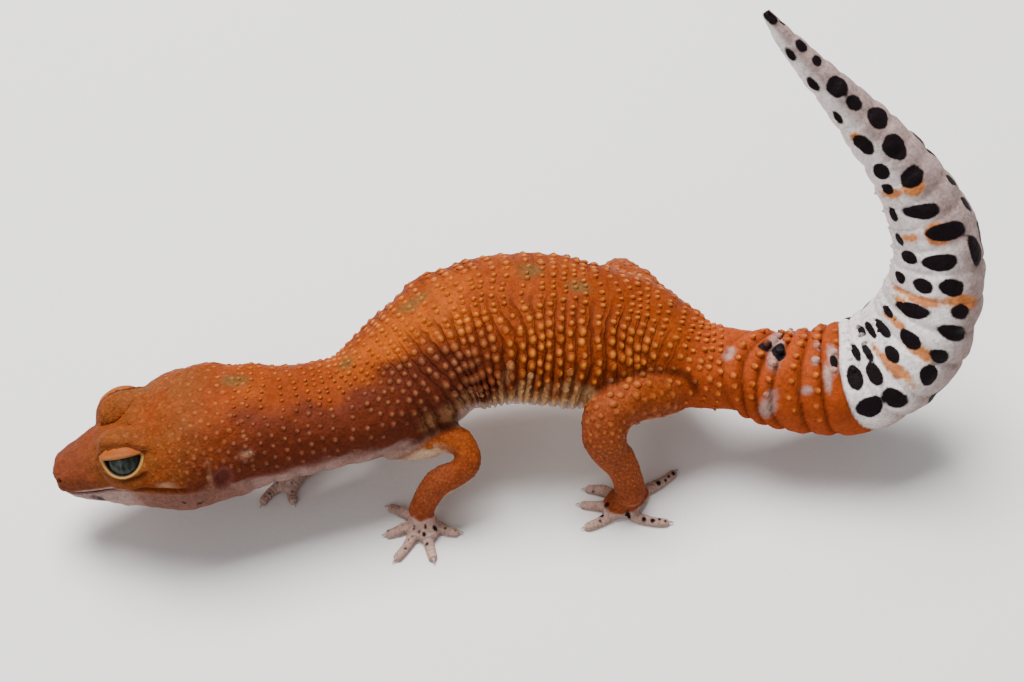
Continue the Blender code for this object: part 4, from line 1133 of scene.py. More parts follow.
class Coat:
    """Roots of the tubercles on the finished skin, and the pieces that are grown from them."""

    def __init__(self, finish, points, normals, p, values, uv):
        self.finish, self.points, self.normals = finish, points, normals
        self.p, self.values, self.uv = p, values, uv
        self.rng = np.random.default_rng(21)
        self.clear = (values["ear"] < 0.1) & (values["lid"] < 0.3)

    def row(self, at, place, spacing, low, high, shift):
        """Roots in one row round the body, evenly spaced between two angles over the side. The
        row's own distance from the snout is at, and place is that of every point."""
        near = np.flatnonzero((np.abs(place - at) < 0.42) & (self.p.body > 0.55) & self.clear)
        if len(near) < 12:
            return []
        reach = float(np.median(self.p.reach[near]))
        pitch = spacing / reach
        turns = np.arange(np.radians(low) + shift * pitch, np.radians(high), pitch)
        turns = turns + self.rng.normal(0, 0.10, len(turns)) * pitch
        gap = np.abs(np.angle(np.exp(1j * (turns[:, None] - self.p.angle[near][None]))))
        gap = gap * reach + 0.6 * np.abs(place[near] - at - self.rng.normal(0, 0.12))[None]
        best = near[gap.argmin(1)]
        return list(best[gap.min(1) < 0.8])

    def scatter(self, allowed, spacing):
        """Roots taken in a seeded order, none nearer to another than its spacing."""
        left = self.rng.permutation(np.flatnonzero(allowed & self.clear))
        roots = []
        while len(left):
            root = left[0]
            roots.append(root)
            left = left[np.linalg.norm(self.points[left] - self.points[root], axis=1) > spacing[root]]
        return roots

    def grow(self, name, roots, radius, height, lean, sides, slot="orange_skin", oval=1.0):
        """Joined mesh of low cones with round tops: rings that narrow as they rise and lean back.
        Radius and height are given for each point of the skin, and oval stretches across."""
        roots = np.array(roots)
        radius, height = radius[roots], height[roots]
        jitter = self.rng.uniform(0.86, 1.14, (2, len(roots)))
        radius, height = radius * jitter[0], height * jitter[1]
        out = self.normals[roots]
        _, back = path(SPINE, self.p.distance[roots] * SPINE_SCALE)
        back = unit(back - out * (back * out).sum(1, keepdims=True))
        across = np.cross(out, back) * np.broadcast_to(oval, len(self.points))[roots][:, None]
        levels = np.array(TUBERCLE)
        turn = np.linspace(0, 2 * np.pi, sides, endpoint=False)
        ring = np.stack([np.cos(turn), np.sin(turn)], -1)
        wide = levels[:, 0][None, :, None, None] * ring[None, None] * radius[:, None, None, None]
        tall = levels[:, 1][None, :, None] * height[:, None, None]
        points = (self.points[roots][:, None, None]
                  + wide[..., :1] * 1.08 * back[:, None, None] + wide[..., 1:] * across[:, None, None]
                  + tall[..., None] * out[:, None, None]
                  + (np.clip(tall, 0, None) * lean)[..., None] * back[:, None, None])
        tops = self.points[roots] + (out + lean * back) * height[:, None]
        feet = self.points[roots] - 0.3 * out * height[:, None]
        size = len(levels) * sides + 2
        points = np.concatenate([points.reshape(len(roots), -1, 3), tops[:, None], feet[:, None]], 1)
        quads = grid_faces(len(levels), sides)
        last = (len(levels) - 1) * sides + np.arange(sides)
        ends = np.vstack([fan(np.arange(sides), size - 1), fan(last, size - 2, flip=True)])
        first = (np.arange(len(roots)) * size)[:, None, None]
        faces = [(block[None] + first).reshape(-1, block.shape[1]) for block in (quads, ends)]
        mesh = new_mesh(name, points.reshape(-1, 3), faces)
        values = {key: np.repeat(numbers[roots], size) for key, numbers in self.values.items()}
        crown = np.concatenate([np.repeat(np.clip(levels[:, 1], 0, 1), sides), [1.0, 0.0]])
        values["crown"] = np.tile(crown, len(roots))
        values["tone"] = np.repeat(self.rng.uniform(-1, 1, len(roots)), size)
        set_attributes(mesh, values)
        patch = np.concatenate([(levels[:, :1, None] * 0.0015 * ring[None]).reshape(-1, 2),
                                [(0.0002, 0.0)], [(-0.0002, 0.0002)]])
        at = np.clip(self.uv[roots][:, None] + patch[None], 0.001, 0.999).reshape(-1, 2)
        set_unwrap(mesh, at[read_faces(mesh)[1]])
        show(name, mesh, self.finish)


def show(name, mesh, finish):
    """Puts a finished mesh in the scene with its material, riding on the body."""
    mesh.materials.clear()
    mesh.materials.append(finish)
    mesh.name = name
    thing = bpy.data.objects.new(name, mesh)
    bpy.context.scene.collection.objects.link(thing)
    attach(thing, "root")
    return thing


# --- Finishes ----------------------------------------------------------------------------------

class Value:
    """A number that varies over a surface. An expression on values adds its Math nodes."""

    def __init__(self, finish, socket):
        self.finish, self.socket = finish, socket

    def math(self, operation, *others):
        return self.finish.math(operation, self, *others)

    def __add__(self, other):
        return self.math("ADD", other)

    def __sub__(self, other):
        return self.math("SUBTRACT", other)

    def __mul__(self, other):
        return self.math("MULTIPLY", other)

    def __rsub__(self, other):
        return self.finish.math("SUBTRACT", other, self)

    __radd__ = __add__
    __rmul__ = __mul__

    def most(self, other):
        return self.math("MAXIMUM", other)

    def step(self, low, high):
        """0 at low, 1 at high, smooth between. With low over high it falls."""
        node = self.finish.node("ShaderNodeMapRange", {"interpolation_type": "SMOOTHSTEP"},
                                Value=self, **{"From Min": low, "From Max": high})
        return Value(self.finish, node.outputs["Result"])


class Finish:
    """A material and the few ways in which its nodes are added."""

    def __init__(self, name, roughness=0.5, **constants):
        self.material = bpy.data.materials.new(name)
        self.material.use_nodes = True
        self.tree = self.material.node_tree
        self.shader = self.tree.nodes["Principled BSDF"]
        self.shader.inputs["Roughness"].default_value = roughness
        for socket, number in constants.items():
            self.shader.inputs[socket.replace("_", " ")].default_value = number
        self.place = self.node("ShaderNodeTexCoord").outputs["Object"]

    def node(self, kind, settings=None, **inputs):
        """One node: its settings are set first, then the values or links of its sockets. A socket
        is given by its name, or by i and its number."""
        node = self.tree.nodes.new(kind)
        for name, setting in (settings or {}).items():
            setattr(node, name, setting)
        for name, given in inputs.items():
            numbered = name[0] == "i" and name[1:].isdigit()
            self.feed(node.inputs[int(name[1:]) if numbered else name], given)
        return node

    def feed(self, socket, given):
        if isinstance(given, Value):
            given = given.socket
        if isinstance(given, bpy.types.NodeSocket):
            self.tree.links.new(given, socket)
        else:
            socket.default_value = given

    def math(self, operation, *values):
        sockets = {f"i{k}": value for k, value in enumerate(values)}
        return Value(self, self.node("ShaderNodeMath", {"operation": operation}, **sockets).outputs[0])

    def attribute(self, name):
        return Value(self, self.node("ShaderNodeAttribute", {"attribute_name": name}).outputs["Fac"])

    def noise(self, length, detail=2.0, rough=0.5, stretch=(1, 1, 1)):
        """Noise of about this wavelength in millimetres, from about -1 to 1."""
        where = self.node("ShaderNodeMapping", Vector=self.place, Scale=stretch).outputs[0]
        node = self.node("ShaderNodeTexNoise", Vector=where, Scale=1.0 / (length * MM), Detail=detail,
                         Roughness=rough)
        return (Value(self, node.outputs["Fac"]) - 0.5) * 2.6

    def scales(self, size, smoothness=0.25):
        """Rounded scales of this size in millimetres: 1 at their middles, 0 between them."""
        node = self.node("ShaderNodeTexVoronoi", {"feature": "SMOOTH_F1"}, Vector=self.place,
                         Scale=1.0 / (size * MM), Smoothness=smoothness)
        return 1.0 - Value(self, node.outputs["Distance"])

    def scale_tone(self, size):
        """A number of each scale's own, from 0 to 1."""
        node = self.node("ShaderNodeTexVoronoi", {"feature": "F1"}, Vector=self.place,
                         Scale=1.0 / (size * MM))
        split = self.node("ShaderNodeSeparateColor", Color=node.outputs["Color"])
        return Value(self, split.outputs[0])

    def mix(self, amount, one, other, blend="MIX"):
        """Colour one turned into the other by the amount."""
        node = self.node("ShaderNodeMix", {"data_type": "RGBA", "blend_type": blend, "clamp_factor": True},
                         i0=amount, i6=one, i7=other)
        return node.outputs[2]

    def done(self, colour, rough, bump=None, depth=0.1):
        """The finished material. Its bump is this deep, in millimetres."""
        self.feed(self.shader.inputs["Base Color"], colour)
        self.feed(self.shader.inputs["Roughness"], rough)
        if bump is not None:
            node = self.node("ShaderNodeBump", Height=bump, Distance=depth * MM, Strength=1.0)
            self.feed(self.shader.inputs["Normal"], node.outputs[0])
        return self.material


# Colours, linear.
ORANGE = (0.170, 0.0275, 0.0038, 1)
BRIGHT_ORANGE = (0.30, 0.058, 0.0050, 1)
HEAD_BROWN = (0.138, 0.041, 0.0090, 1)
SNOUT_BROWN = (0.125, 0.029, 0.011, 1)
DARK_RED = (0.085, 0.0155, 0.0062, 1)
TAIL_ORANGE = (0.28, 0.046, 0.0090, 1)
ORANGE_TIP = (0.56, 0.180, 0.017, 1)
HEAD_TIP = (0.30, 0.088, 0.019, 1)
DARK_TIP = (0.245, 0.094, 0.031, 1)
CREAM = (0.40, 0.225, 0.095, 1)
CREAM_TIP = (0.43, 0.255, 0.105, 1)
MAUVE = (0.25, 0.150, 0.128, 1)
THROAT_RED = (0.145, 0.062, 0.045, 1)
TAIL_WHITE = (0.68, 0.62, 0.60, 1)
# Painted shade on the lower side of the tail's white part.
TAIL_SHADE = (0.27, 0.19, 0.175, 1)
PALE_TAN = (0.34, 0.17, 0.10, 1)
PALE_GREY = (0.36, 0.27, 0.24, 1)
PAW = (0.38, 0.24, 0.195, 1)
BLACK = (0.008, 0.005, 0.006, 1)
MAROON = (0.13, 0.032, 0.024, 1)
GREY_GREEN = (0.10, 0.062, 0.018, 1)
LIP_WHITE = (0.30, 0.20, 0.175, 1)
LEG_RED = (0.218, 0.050, 0.019, 1)
# Painted shade for the folds, the wrinkles and the gaps between the legs' scales.
PAINTED_FOLD_SHADE = (0.036, 0.007, 0.003, 1)
BELLY_CREAM = (0.46, 0.33, 0.27, 1)
LIMB_CREAM = (0.50, 0.34, 0.21, 1)
RUST = (0.40, 0.11, 0.012, 1)
RUST_BRIGHT = (0.60, 0.21, 0.035, 1)
# Painted shade in the grooves of the cream flank and of the white tail.
CREAM_GROOVE_SHADE = (0.13, 0.060, 0.028, 1)
TAIL_GROOVE_SHADE = (0.13, 0.055, 0.035, 1)
BROW = (0.25, 0.060, 0.010, 1)
BROW_RIM = (0.33, 0.105, 0.031, 1)
LOWER_LID = (0.20, 0.065, 0.012, 1)
LOWER_RIM = (0.34, 0.19, 0.055, 1)
LID_INSIDE_SHADE = (0.012, 0.006, 0.004, 1)
IRIS_DARK = (0.006, 0.008, 0.006, 1)
IRIS_VEINS = (0.030, 0.037, 0.028, 1)
IRIS_EDGE = (0.004, 0.004, 0.004, 1)
PUPIL = (0.003, 0.003, 0.003, 1)
CLAW_ROOT = (0.40, 0.30, 0.26, 1)
CLAW_TIP = (0.26, 0.18, 0.15, 1)
FLOOR_DARK = (0.73, 0.70, 0.68, 1)
FLOOR_PALE = (0.76, 0.73, 0.71, 1)


def wrinkles(f):
    """Lines between the rows of tubercles, two for each row, wavering and broken in places: a bump, and
    painted shade in the wrinkles.
    """
    phase = f.attribute("row") + f.noise(3.0, 2.0, 0.5, (1, 1, 0.5)) * 0.065
    main = (phase * np.pi).math("SINE").math("ABSOLUTE").step(0.88, 1.0)
    other = (phase * np.pi + 0.9 + f.noise(4.0) * 0.5).math("SINE").math("ABSOLUTE").step(0.90, 1.0)
    broken = (f.noise(2.2, 2.0) + 0.35).step(-0.3, 0.5)
    return (main * (broken * 0.4 + 0.6)).most(other * broken * 0.7) * f.attribute("wrinkled")


def hide_colour(f, on_coat):
    """Colour of skin and coat alike, from the attributes that markings gives, and fine noise, with painted
    shade in folds, wrinkles and grooves and a painted highlight on the legs' tops.
    """
    read = {name: f.attribute(name) for name in (
        "spots", "white", "rust", "pale", "smudge", "dark", "cream", "belly", "lip", "ear", "fold",
        "limb", "paw", "head", "snout", "back", "bright", "tail", "shade", "crown")}
    broad, patchy, fine = f.noise(9.0), f.noise(2.6, 3.0), f.noise(0.7, 2.0)
    # Brighter orange in patches, on the back over the shoulders, and as a painted highlight on the legs'
    # tops.
    bright = (broad * 0.45 + patchy * 0.35 + 0.12 + read["bright"] * 0.6).step(0.0, 1.0)
    colour = f.mix(bright, ORANGE, BRIGHT_ORANGE)
    colour = f.mix(read["tail"] * (patchy * 0.3 + 0.8), colour, TAIL_ORANGE)
    # Less leg red where the painted highlight lies on the legs' tops.
    colour = f.mix(read["limb"] * (0.8 - read["bright"] * 0.6) * (patchy * 0.3 + 0.9), colour, LEG_RED)
    scaly = f.scales(0.5)
    on_leg = read["limb"] * (1.0 - read["paw"])
    # Painted shade in the gaps between the legs' scales, and paler middles to the scales.
    colour = f.mix(scaly.step(0.62, 0.35) * on_leg * 0.22, colour, PAINTED_FOLD_SHADE)
    colour = f.mix(scaly.step(0.70, 0.95) * on_leg * 0.12, colour, ORANGE_TIP)
    head = (read["head"] * 0.9 + patchy * 0.12 - read["back"] * 0.1).step(0.05, 0.95)
    colour = f.mix(head, colour, f.mix((broad + patchy * 0.6).step(-0.7, 0.9), HEAD_BROWN, ORANGE))
    colour = f.mix((read["snout"] + patchy * 0.2).step(0.0, 1.1), colour, SNOUT_BROWN)
    dark = read["dark"] * (1.0 + patchy * 0.3 + broad * 0.15)
    colour = f.mix(dark.step(0.0, 1.0), colour, DARK_RED)
    freckle = f.scale_tone(0.6).step(0.62, 0.95) * head * (1.0 - read["snout"])
    colour = f.mix(freckle * 0.22, colour, HEAD_TIP)
    ridge = (f.attribute("row") * (2 * np.pi)).math("COSINE") * 0.5 + 0.5
    cream = (read["cream"] * (ridge * 0.35 + 0.75) + patchy * 0.22 + fine * 0.1).step(0.1, 1.1)
    colour = f.mix(cream * 0.85, colour, CREAM)
    colour = f.mix((read["smudge"] + patchy * 0.9).step(0.9, -1.4) * 0.7, colour, GREY_GREEN)
    if on_coat:
        tip = (read["crown"] * (0.9 + 0.15 * fine)).step(0.08, 1.05)
        pale = f.mix(dark.step(0.1, 0.8), ORANGE_TIP, DARK_TIP)
        pale = f.mix(read["cream"].step(0.15, 0.85), pale, CREAM_TIP)
        pale = f.mix(head, pale, HEAD_TIP)
        row = f.attribute("row")
        tip = tip * (1.0 - read["limb"] * (0.88 - row.step(18.0, 36.0) * 0.36) - read["back"] * 0.25)
        tip = tip * (row.step(3.0, 15.0) * 0.3 + 0.7)
        colour = f.mix(tip * (0.66 + 0.2 * f.attribute("tone") + fine * 0.1), colour, pale)
    else:
        # Painted shade in the wrinkles between the rows of tubercles.
        colour = f.mix(wrinkles(f) * 0.70 * (1.0 - cream * 0.5), colour, f.mix(0.85, colour, PAINTED_FOLD_SHADE))
    under = f.mix((patchy * 0.5 + read["head"] - read["snout"]).step(-0.3, 0.7), MAUVE, THROAT_RED)
    under = f.mix(read["cream"] * 0.9, under, BELLY_CREAM)
    under = f.mix(read["limb"] * (1.0 - read["paw"]) * 0.8, under, LIMB_CREAM)
    colour = f.mix((read["belly"] + patchy * 0.15 + fine * 0.08).step(0.1, 1.0), colour, under)
    colour = f.mix((read["lip"] + patchy * 0.2).step(0.3, 0.95) * 0.85, colour, LIP_WHITE)
    # Painted shade: the tail's white darkens towards its lower side.
    shade = (read["shade"] + patchy * 0.25 + broad * 0.2).step(0.0, 1.0)
    tail = f.mix(shade, TAIL_WHITE, TAIL_SHADE)
    colour = f.mix((read["white"] + patchy * 0.3).step(-0.22, 0.22), colour, tail)
    pale = (read["pale"] + patchy * 0.5 + fine * 0.2).step(0.45, -0.7)
    colour = f.mix(pale * 0.72, colour, f.mix(read["tail"], PALE_TAN, PALE_GREY))
    rust = (read["rust"] + patchy * 0.7 + fine * 0.25).step(0.5, -0.25) * read["white"].step(-0.5, 0.5)
    colour = f.mix(rust * 0.92, colour, f.mix((patchy + 0.4).step(0.0, 1.0), RUST, RUST_BRIGHT))
    colour = f.mix((read["paw"] + fine * 0.06).step(0.2, 0.85), colour, PAW)
    colour = f.mix(read["ear"] * 0.9, colour, MAROON)
    black = (read["spots"] + patchy * 0.26 + fine * 0.09).step(0.17, -0.15)
    colour = f.mix(black, colour, BLACK)
    tone = f.scale_tone(0.42) * 0.34 + 0.83 + fine * 0.08
    grey = f.node("ShaderNodeCombineColor", i0=tone, i1=tone, i2=tone).outputs[0]
    colour = f.mix(1.0, colour, grey, "MULTIPLY")
    # Painted shade in folds and grooves, darkest where the fold is deepest, kept off the black spots.
    groove = f.mix(cream, f.mix(0.86, colour, PAINTED_FOLD_SHADE), CREAM_GROOVE_SHADE)
    groove = f.mix(read["white"].step(0.0, 4.0), groove, TAIL_GROOVE_SHADE)
    return f.mix((read["fold"] * 0.95).step(0.0, 1.0) * 0.9 * (1.0 - black), colour, groove)


def skin_finish():
    """Granular skin: small round scales, finer on the head and feet, in a leathery ground."""
    f = Finish("gecko_skin", 0.5, Subsurface_Weight=0.05, Subsurface_Scale=0.0010, Specular_IOR_Level=0.03)
    small, middle = f.scales(0.34), f.scales(0.62)
    head, paw, tail = f.attribute("head"), f.attribute("paw"), f.attribute("tail")
    grain = small * (0.5 + 0.5 * head) + middle * 0.8 * (1.0 - head * 0.55) * (1.0 - tail * 0.4)
    toe_bands = (f.attribute("toe") * 9.5).math("SINE") * paw * 0.5
    height = grain + f.noise(0.9, 3.0) * 0.25 + toe_bands - wrinkles(f) * 1.8
    rough = 0.56 + f.noise(1.6) * 0.06 + f.attribute("fold") * 0.2
    rough = rough - f.attribute("spots").step(0.1, -0.1) * 0.06
    return f.done(hide_colour(f, False), rough, height, 0.085)


def coat_finish():
    """Tubercles: the skin's own markings, paler towards each top, with fine bumps over them."""
    f = Finish("gecko_tubercle", 0.5, Subsurface_Weight=0.05, Subsurface_Scale=0.0008,
               Specular_IOR_Level=0.06)
    height = f.scales(0.24) + f.noise(0.5, 2.0) * 0.3
    rough = 0.50 + f.noise(0.8) * 0.07
    return f.done(hide_colour(f, True), rough, height, 0.035)


def lid_finish():
    """Lids: a smooth orange brow above, a thick creamy rim below, with fine scales in rows, and painted shade
    where they tuck in against the eyeball.
    """
    f = Finish("gecko_lid", 0.5, Subsurface_Weight=0.06, Subsurface_Scale=0.001, Specular_IOR_Level=0.08)
    upper, rim = f.attribute("upper"), f.attribute("rim")
    noise = f.noise(0.8, 3.0)
    top = f.mix((rim + noise * 0.15).step(0.35, 1.0), BROW, BROW_RIM)
    low = f.mix((rim + noise * 0.12).step(0.0, 0.5), LOWER_LID, LOWER_RIM)
    colour = f.mix((upper + noise * 0.1).step(0.3, 0.7), low, top)
    # Painted shade on the lids' inside, against the eyeball.
    colour = f.mix(f.attribute("inside").step(0.05, 0.7), colour, LID_INSIDE_SHADE)
    return f.done(colour, 0.48 + noise * 0.06, f.scales(0.2) + noise * 0.2, 0.03)


def eye_finish():
    """Dark grey-green iris under a wet cornea, veined from top to bottom, with a narrow pupil."""
    f = Finish("gecko_eye", 0.3, Coat_Weight=0.22, Coat_Roughness=0.08, Specular_IOR_Level=0.2)
    across, upward = f.attribute("across"), f.attribute("upward")
    reach = (across * across + upward * upward).math("SQRT")
    wave = f.noise(1.1, 2.0) * 0.25
    veins = ((across + wave) * 7.5).math("SINE") * 0.5 + f.noise(0.45, 3.0, 0.6) * 0.5
    iris = f.mix((veins * 0.5 + 0.45).step(0.0, 1.0), IRIS_DARK, IRIS_VEINS)
    pupil = ((across + wave * 0.5).math("ABSOLUTE") - 0.17).step(0.10, -0.06)
    colour = f.mix(pupil, iris, PUPIL)
    colour = f.mix(reach.step(1.5, 2.9), colour, IRIS_EDGE)
    return f.done(colour, 0.30 + veins * 0.03)


def claw_finish():
    """Small horny claws, pale at the root and brown at the tip."""
    f = Finish("gecko_claw", 0.4)
    tip = f.attribute("tip")
    colour = f.mix((tip + f.noise(0.3) * 0.1).step(0.3, 1.0), CLAW_ROOT, CLAW_TIP)
    return f.done(colour, 0.38 + f.noise(0.4) * 0.08, f.noise(0.15, 2.0, 0.5, (1, 1, 4)), 0.01)


def floor_finish():
    f = Finish("pale_floor", 0.7)
    tone = f.noise(60.0, 2.0) * 0.01
    colour = f.mix(tone.step(-0.05, 0.05), FLOOR_DARK, FLOOR_PALE)
    return f.done(colour, 0.7 + tone, f.noise(1.2, 2.0), 0.02)


# --- Eyes, lids and claws ----------------------------------------------------------------------

def build_eye(side, finish):
    """Eyeball: a sphere of rings round its look, with a low bulge of cornea at the front."""
    centre, ahead, upward, look = eye_axes(side)
    away = np.linspace(0.0, np.pi, 44)[1:-1, None]
    turn = np.linspace(0, 2 * np.pi, 64, endpoint=False)[None]
    radius = EYE_RADIUS * (0.97 + 0.03 * bell(away, 0.75))
    right, high = radius * np.sin(away) * np.cos(turn), radius * np.sin(away) * np.sin(turn)
    out = np.broadcast_to(radius * np.cos(away), right.shape)
    rings = centre + right[..., None] * ahead + high[..., None] * upward + out[..., None] * look
    points, faces = tube(rings)
    poles = np.array([EYE_RADIUS, -0.97 * EYE_RADIUS])[:, None] * look + centre
    points[-2:] = poles
    mesh = new_mesh(side + "_eyeball", points, faces)
    local = points - centre
    set_attributes(mesh, {"across": local @ ahead, "upward": local @ upward})
    eye = show(side + "_eyeball", mesh, finish)
    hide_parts(side + "_eye")


def build_lids(side, finish):
    """Ring of the two lids: a profile carried round the opening. Above it is a flat brow with a
    straight lower edge and a pointed front corner, below and behind a thin rounded rim."""
    centre, ahead, upward, look = eye_axes(side)
    turn = np.linspace(0, 2 * np.pi, 160, endpoint=False)
    c, s = np.cos(turn), np.sin(turn)
    span = opening_reach(c, s)
    x, y = span * c, span * s
    band, upper, front = lid_band(turn)
    share, rise, inside = np.array(LID_PROFILE).T
    out = np.where(share < 0.05, share, share * band[:, None])
    flat_x, flat_y = (v[:, None] * (1 + out / span[:, None]) for v in (x, y))
    flat_y = flat_y - 0.25 * (front * (1.0 - upper))[:, None] * np.clip(out, 0, None)
    radius = rise + (0.12 + 0.40 * upper + 0.12 * front)[:, None] * step(rise, 3.2, 3.6)
    depth = np.sqrt(np.clip((EYE_RADIUS + 0.3) ** 2 - flat_x**2 - flat_y**2, 0.4, None))
    way = unit(flat_x[..., None] * ahead + flat_y[..., None] * upward + depth[..., None] * look)
    points = (centre + way * radius[..., None]).reshape(-1, 3)
    count = len(share)
    here = np.arange(len(points)).reshape(-1, count)
    after = np.roll(here, -1, axis=0)
    corners = [here, after, np.roll(after, -1, axis=1), np.roll(here, -1, axis=1)]
    mesh = new_mesh(side + "_eyelids", points, [np.stack(corners, -1).reshape(-1, 4)])
    rim = bell(share - 0.16, 0.42)
    set_attributes(mesh, {"upper": np.repeat(upper, count), "rim": np.tile(rim, len(turn)),
                          "inside": np.tile(inside, len(turn))})
    show(side + "_eyelids", mesh, finish)


def build_claws(leg, node, finish):
    """A foot's five claws: cones that curve down to the floor from the tips of the toes."""
    shapes, tips = [], []
    for toe in range(len(TOES[leg])):
        flat, heading = toe_route(leg, toe)
        run = np.linspace(-0.4, CLAW_LENGTH * 0.62, 9)
        ahead = np.array([np.cos(heading), np.sin(heading), 0.0])
        across, up = np.array([-ahead[1], ahead[0], 0.0]), np.array([0, 0, 1.0])
        height = 0.66 - 0.36 * np.clip(run, 0, None) ** 2 / (0.62 * CLAW_LENGTH) ** 2
        centre = np.append(flat[-1], 0.0) + run[:, None] * ahead + height[:, None] * up
        width = np.interp(run, [-0.4, 0.1, 0.62], [0.26, 0.20, 0.05])[:, None, None]
        around = np.linspace(0, 2 * np.pi, 10, endpoint=False)[None, :, None]
        rings = centre[:, None] + width * (0.8 * np.cos(around) * across + np.sin(around) * up)
        rings[..., 2] = np.maximum(rings[..., 2], 0.01)
        shapes.append(tube(rings))
        tips.append(np.append(np.repeat(np.linspace(0, 1, len(run)), 10), [0.0, 1.0]))
    points, faces = joined(shapes)
    mesh = new_mesh(node + "_claws", points, faces)
    set_attributes(mesh, {"tip": np.concatenate(tips)})
    show(node + "_claws", mesh, finish)


# --- Assembly ----------------------------------------------------------------------------------

def build_skin(finish):
    """The one skin over all the flesh, its markings and its unwrap. Returns what the coat needs."""
    mesh, kinds = raw_skin()
    points, root_gap = filleted(mesh)
    mesh.vertices.foreach_set("co", points.ravel())
    mesh.update()
    p = Places(points, read_points(mesh, "normal"))
    limb_depth = LEG_COAT + (FOOT_COAT - LEG_COAT) * p.foot
    depth = from_table(COAT, p.distance) * p.body + p.limb * limb_depth
    height, fold = folds(p)
    # Painted shade along the upper side of the crease where each leg meets the body.
    fold = np.maximum(fold, 0.85 * bell(root_gap, 0.5) * step(p.normals[:, 2], 0.0, 0.45))
    height = height * (1.0 - 0.8 * p.foot)
    shaped = points + p.normals * (height - depth)[:, None]
    shaped, fold, lidded = open_eyes(p, shaped, fold)
    shaped[:, 2] = np.maximum(shaped[:, 2], 0.0)
    total, corners = read_faces(mesh)
    uv = unwrap(p, corners, total)
    mesh.vertices.foreach_set("co", (shaped * MM).ravel())
    mesh.update()
    mesh.shade_smooth()
    values = markings(p, fold, lidded)
    set_unwrap(mesh, uv)
    set_attributes(mesh, values)
    skin = show("skin", mesh, finish)
    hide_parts(*[name for name in frame["nodes"] if not name.endswith("_eye")])
    for kind in kinds:
        bpy.data.materials.remove(kind)
    root_uv = np.zeros((len(points), 2))
    root_uv[corners] = uv
    return shaped, read_points(mesh, "normal"), p, values, root_uv


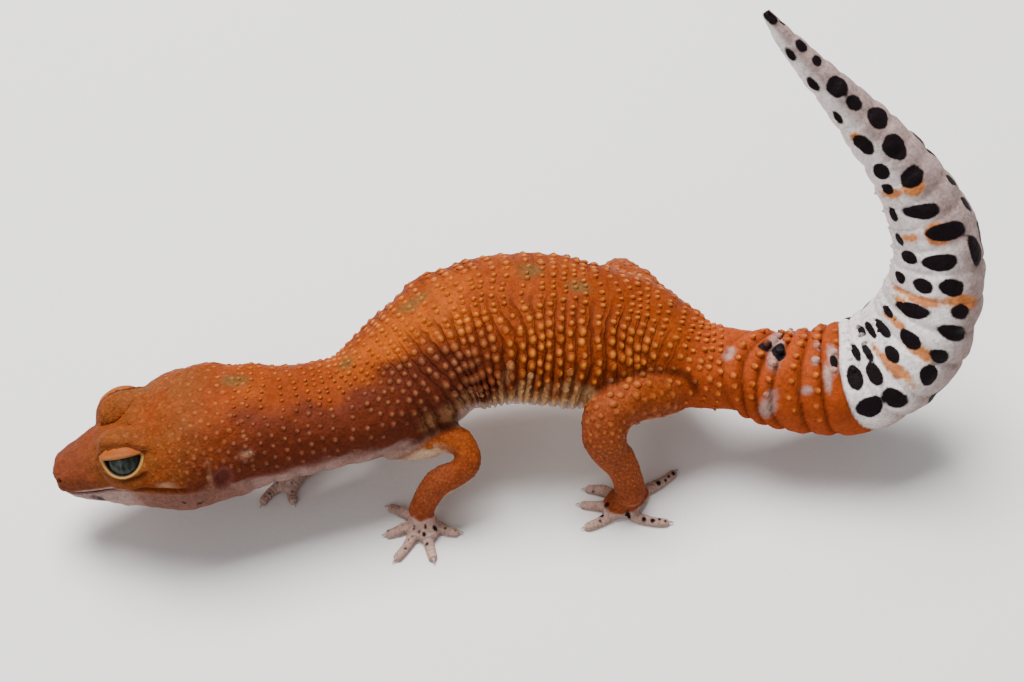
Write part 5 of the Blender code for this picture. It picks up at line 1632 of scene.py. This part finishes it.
def build_coat(coat):
    """Tubercles: rows round the neck, trunk and tail, scattered ones on the head and the legs."""
    p = coat.p
    s, side = p.distance, p.side
    roots = []
    for k, at in enumerate(np.arange(FIRST_ROW, LAST_ROW, ROW_GAP)):
        low = float(from_table(ROW_STARTS, at))
        spacing = float(from_table(ROW_SPACING, at))
        roots += coat.row(at, p.row_at, spacing, low, 180.0 - low, 0.5 * (k % 2))
    roots = np.array(roots)
    lower = 0.60 + 0.42 * step(side + 14.0 * step(s, 74.0, 62.0) * p.near, -8, 24)
    radius = from_table(ROW_RADIUS, s) * lower * (1.0 - 0.35 * coat.values["cream"] * step(s, 72.0, 64.0))
    radius = radius * (0.88 + 0.12 * window(side, 6.0, 60.0, 14.0))
    height = from_table(ROW_HEIGHT, s) * (1.0 + 0.6 * step(side, 50, 80))
    long = 1.0 + 0.34 * window(s, 60.0, 92.0, 10.0) * window(side, -10.0, 50.0, 14.0)
    on_trunk = s[roots] > NECK_ENDS
    for name, part in (("trunk_tubercles", on_trunk), ("neck_tubercles", ~on_trunk)):
        coat.grow(name, roots[part], radius, height, 0.35, 14, oval=long)

    tail = []
    for k, (edge, after) in enumerate(zip(p.edges, p.edges[1:])):
        if after < TAIL_COAT_ENDS:
            low, high = (6.0, 174.0) if k < ORANGE_RINGS else (55.0, 125.0)
            at = edge + 0.66 * (after - edge)
            tail += coat.row(at, p.ring_at, 2.5 + 0.2 * (k % 3), low, high, 0.5 * (k % 2))
    top = step(side, 20.0, 75.0)
    radius = from_table(TAIL_RADIUS, s)
    coat.grow("tail_tubercles", tail, radius * (0.75 + 0.25 * top), radius * (0.28 + 0.75 * top), 0.5, 14,
              "white_skin")

    on_head = (p.body > 0.8) & (s > HEAD_COAT[0]) & (s < HEAD_COAT[1]) & (p.over_lips > 1.2) & (side > 8)
    spacing = from_table(HEAD_SPACING, s) * (1.0 + 0.3 * step(side, 40, 70))
    radius = from_table(HEAD_RADIUS, s)
    height = radius * from_table(HEAD_HEIGHT, s)
    coat.grow("head_tubercles", coat.scatter(on_head, spacing), radius, height, 0.2, 10)

    on_leg = (p.limb > 0.7) & (p.from_ankle < -2.2) & (p.normals[:, 2] > -0.35)
    hind = (p.leg >= 2) * step(p.run, 25.0, 17.0)
    roots = coat.scatter(on_leg, 0.62 + 0.95 * hind)
    coat.grow("leg_tubercles", roots, 0.20 + 0.36 * hind, 0.05 + 0.15 * hind, 0.2, 10)


def aimed(name, data, place, target):
    """Puts a lamp or camera in the scene, turned towards its target."""
    thing = bpy.data.objects.new(name, data)
    thing.location = place
    thing.rotation_euler = (target - place).to_track_quat("-Z", "Y").to_euler()
    bpy.context.scene.collection.objects.link(thing)
    return thing


def build_stage():
    """Pale floor, a large soft light overhead, a weaker one at the front, and a pale sky."""
    corners = [(FLOOR_HALF * x, FLOOR_HALF * y, 0) for x, y in ((-1, -1), (1, -1), (1, 1), (-1, 1))]
    mesh = bpy.data.meshes.new("floor")
    mesh.from_pydata(corners, [], [(0, 1, 2, 3)])
    mesh.materials.append(floor_finish())
    floor = bpy.data.objects.new("floor", mesh)
    bpy.context.scene.collection.objects.link(floor)
    for name, place, power, wide in LAMPS:
        lamp = bpy.data.lights.new(name, "AREA")
        lamp.energy = power
        lamp.size = wide
        aimed(name, lamp, Vector(place), Vector((0, 0, 0.02)))
    world = bpy.data.worlds.new("sky")
    bpy.context.scene.world = world
    world.use_nodes = True
    sky = world.node_tree.nodes["Background"].inputs
    sky["Color"].default_value = SKY
    sky["Strength"].default_value = 0.40


def build_camera():
    """Camera high on the left side."""
    target, lift = Vector(CAMERA_TARGET) * MM, np.radians(CAMERA_LIFT)
    lens = bpy.data.cameras.new("camera")
    lens.lens = 56.25
    lens.sensor_width = 36.0
    lens.clip_start = 0.01
    place = target + Vector((0, -np.cos(lift), np.sin(lift))) * (CAMERA_GAP * MM)
    bpy.context.scene.camera = aimed("camera", lens, place, target)


coat_look = coat_finish()
build_coat(Coat(coat_look, *build_skin(skin_finish())))
lid_look, eye_look, claw_look = lid_finish(), eye_finish(), claw_finish()
for side in EYES:
    build_eye(side, eye_look)
    build_lids(side, lid_look)
for leg, node in (("left_fore", "left_hand"), ("right_fore", "right_hand"),
                  ("left_hind", "left_foot"), ("right_hind", "right_foot")):
    build_claws(leg, node, claw_look)
build_stage()
build_camera()
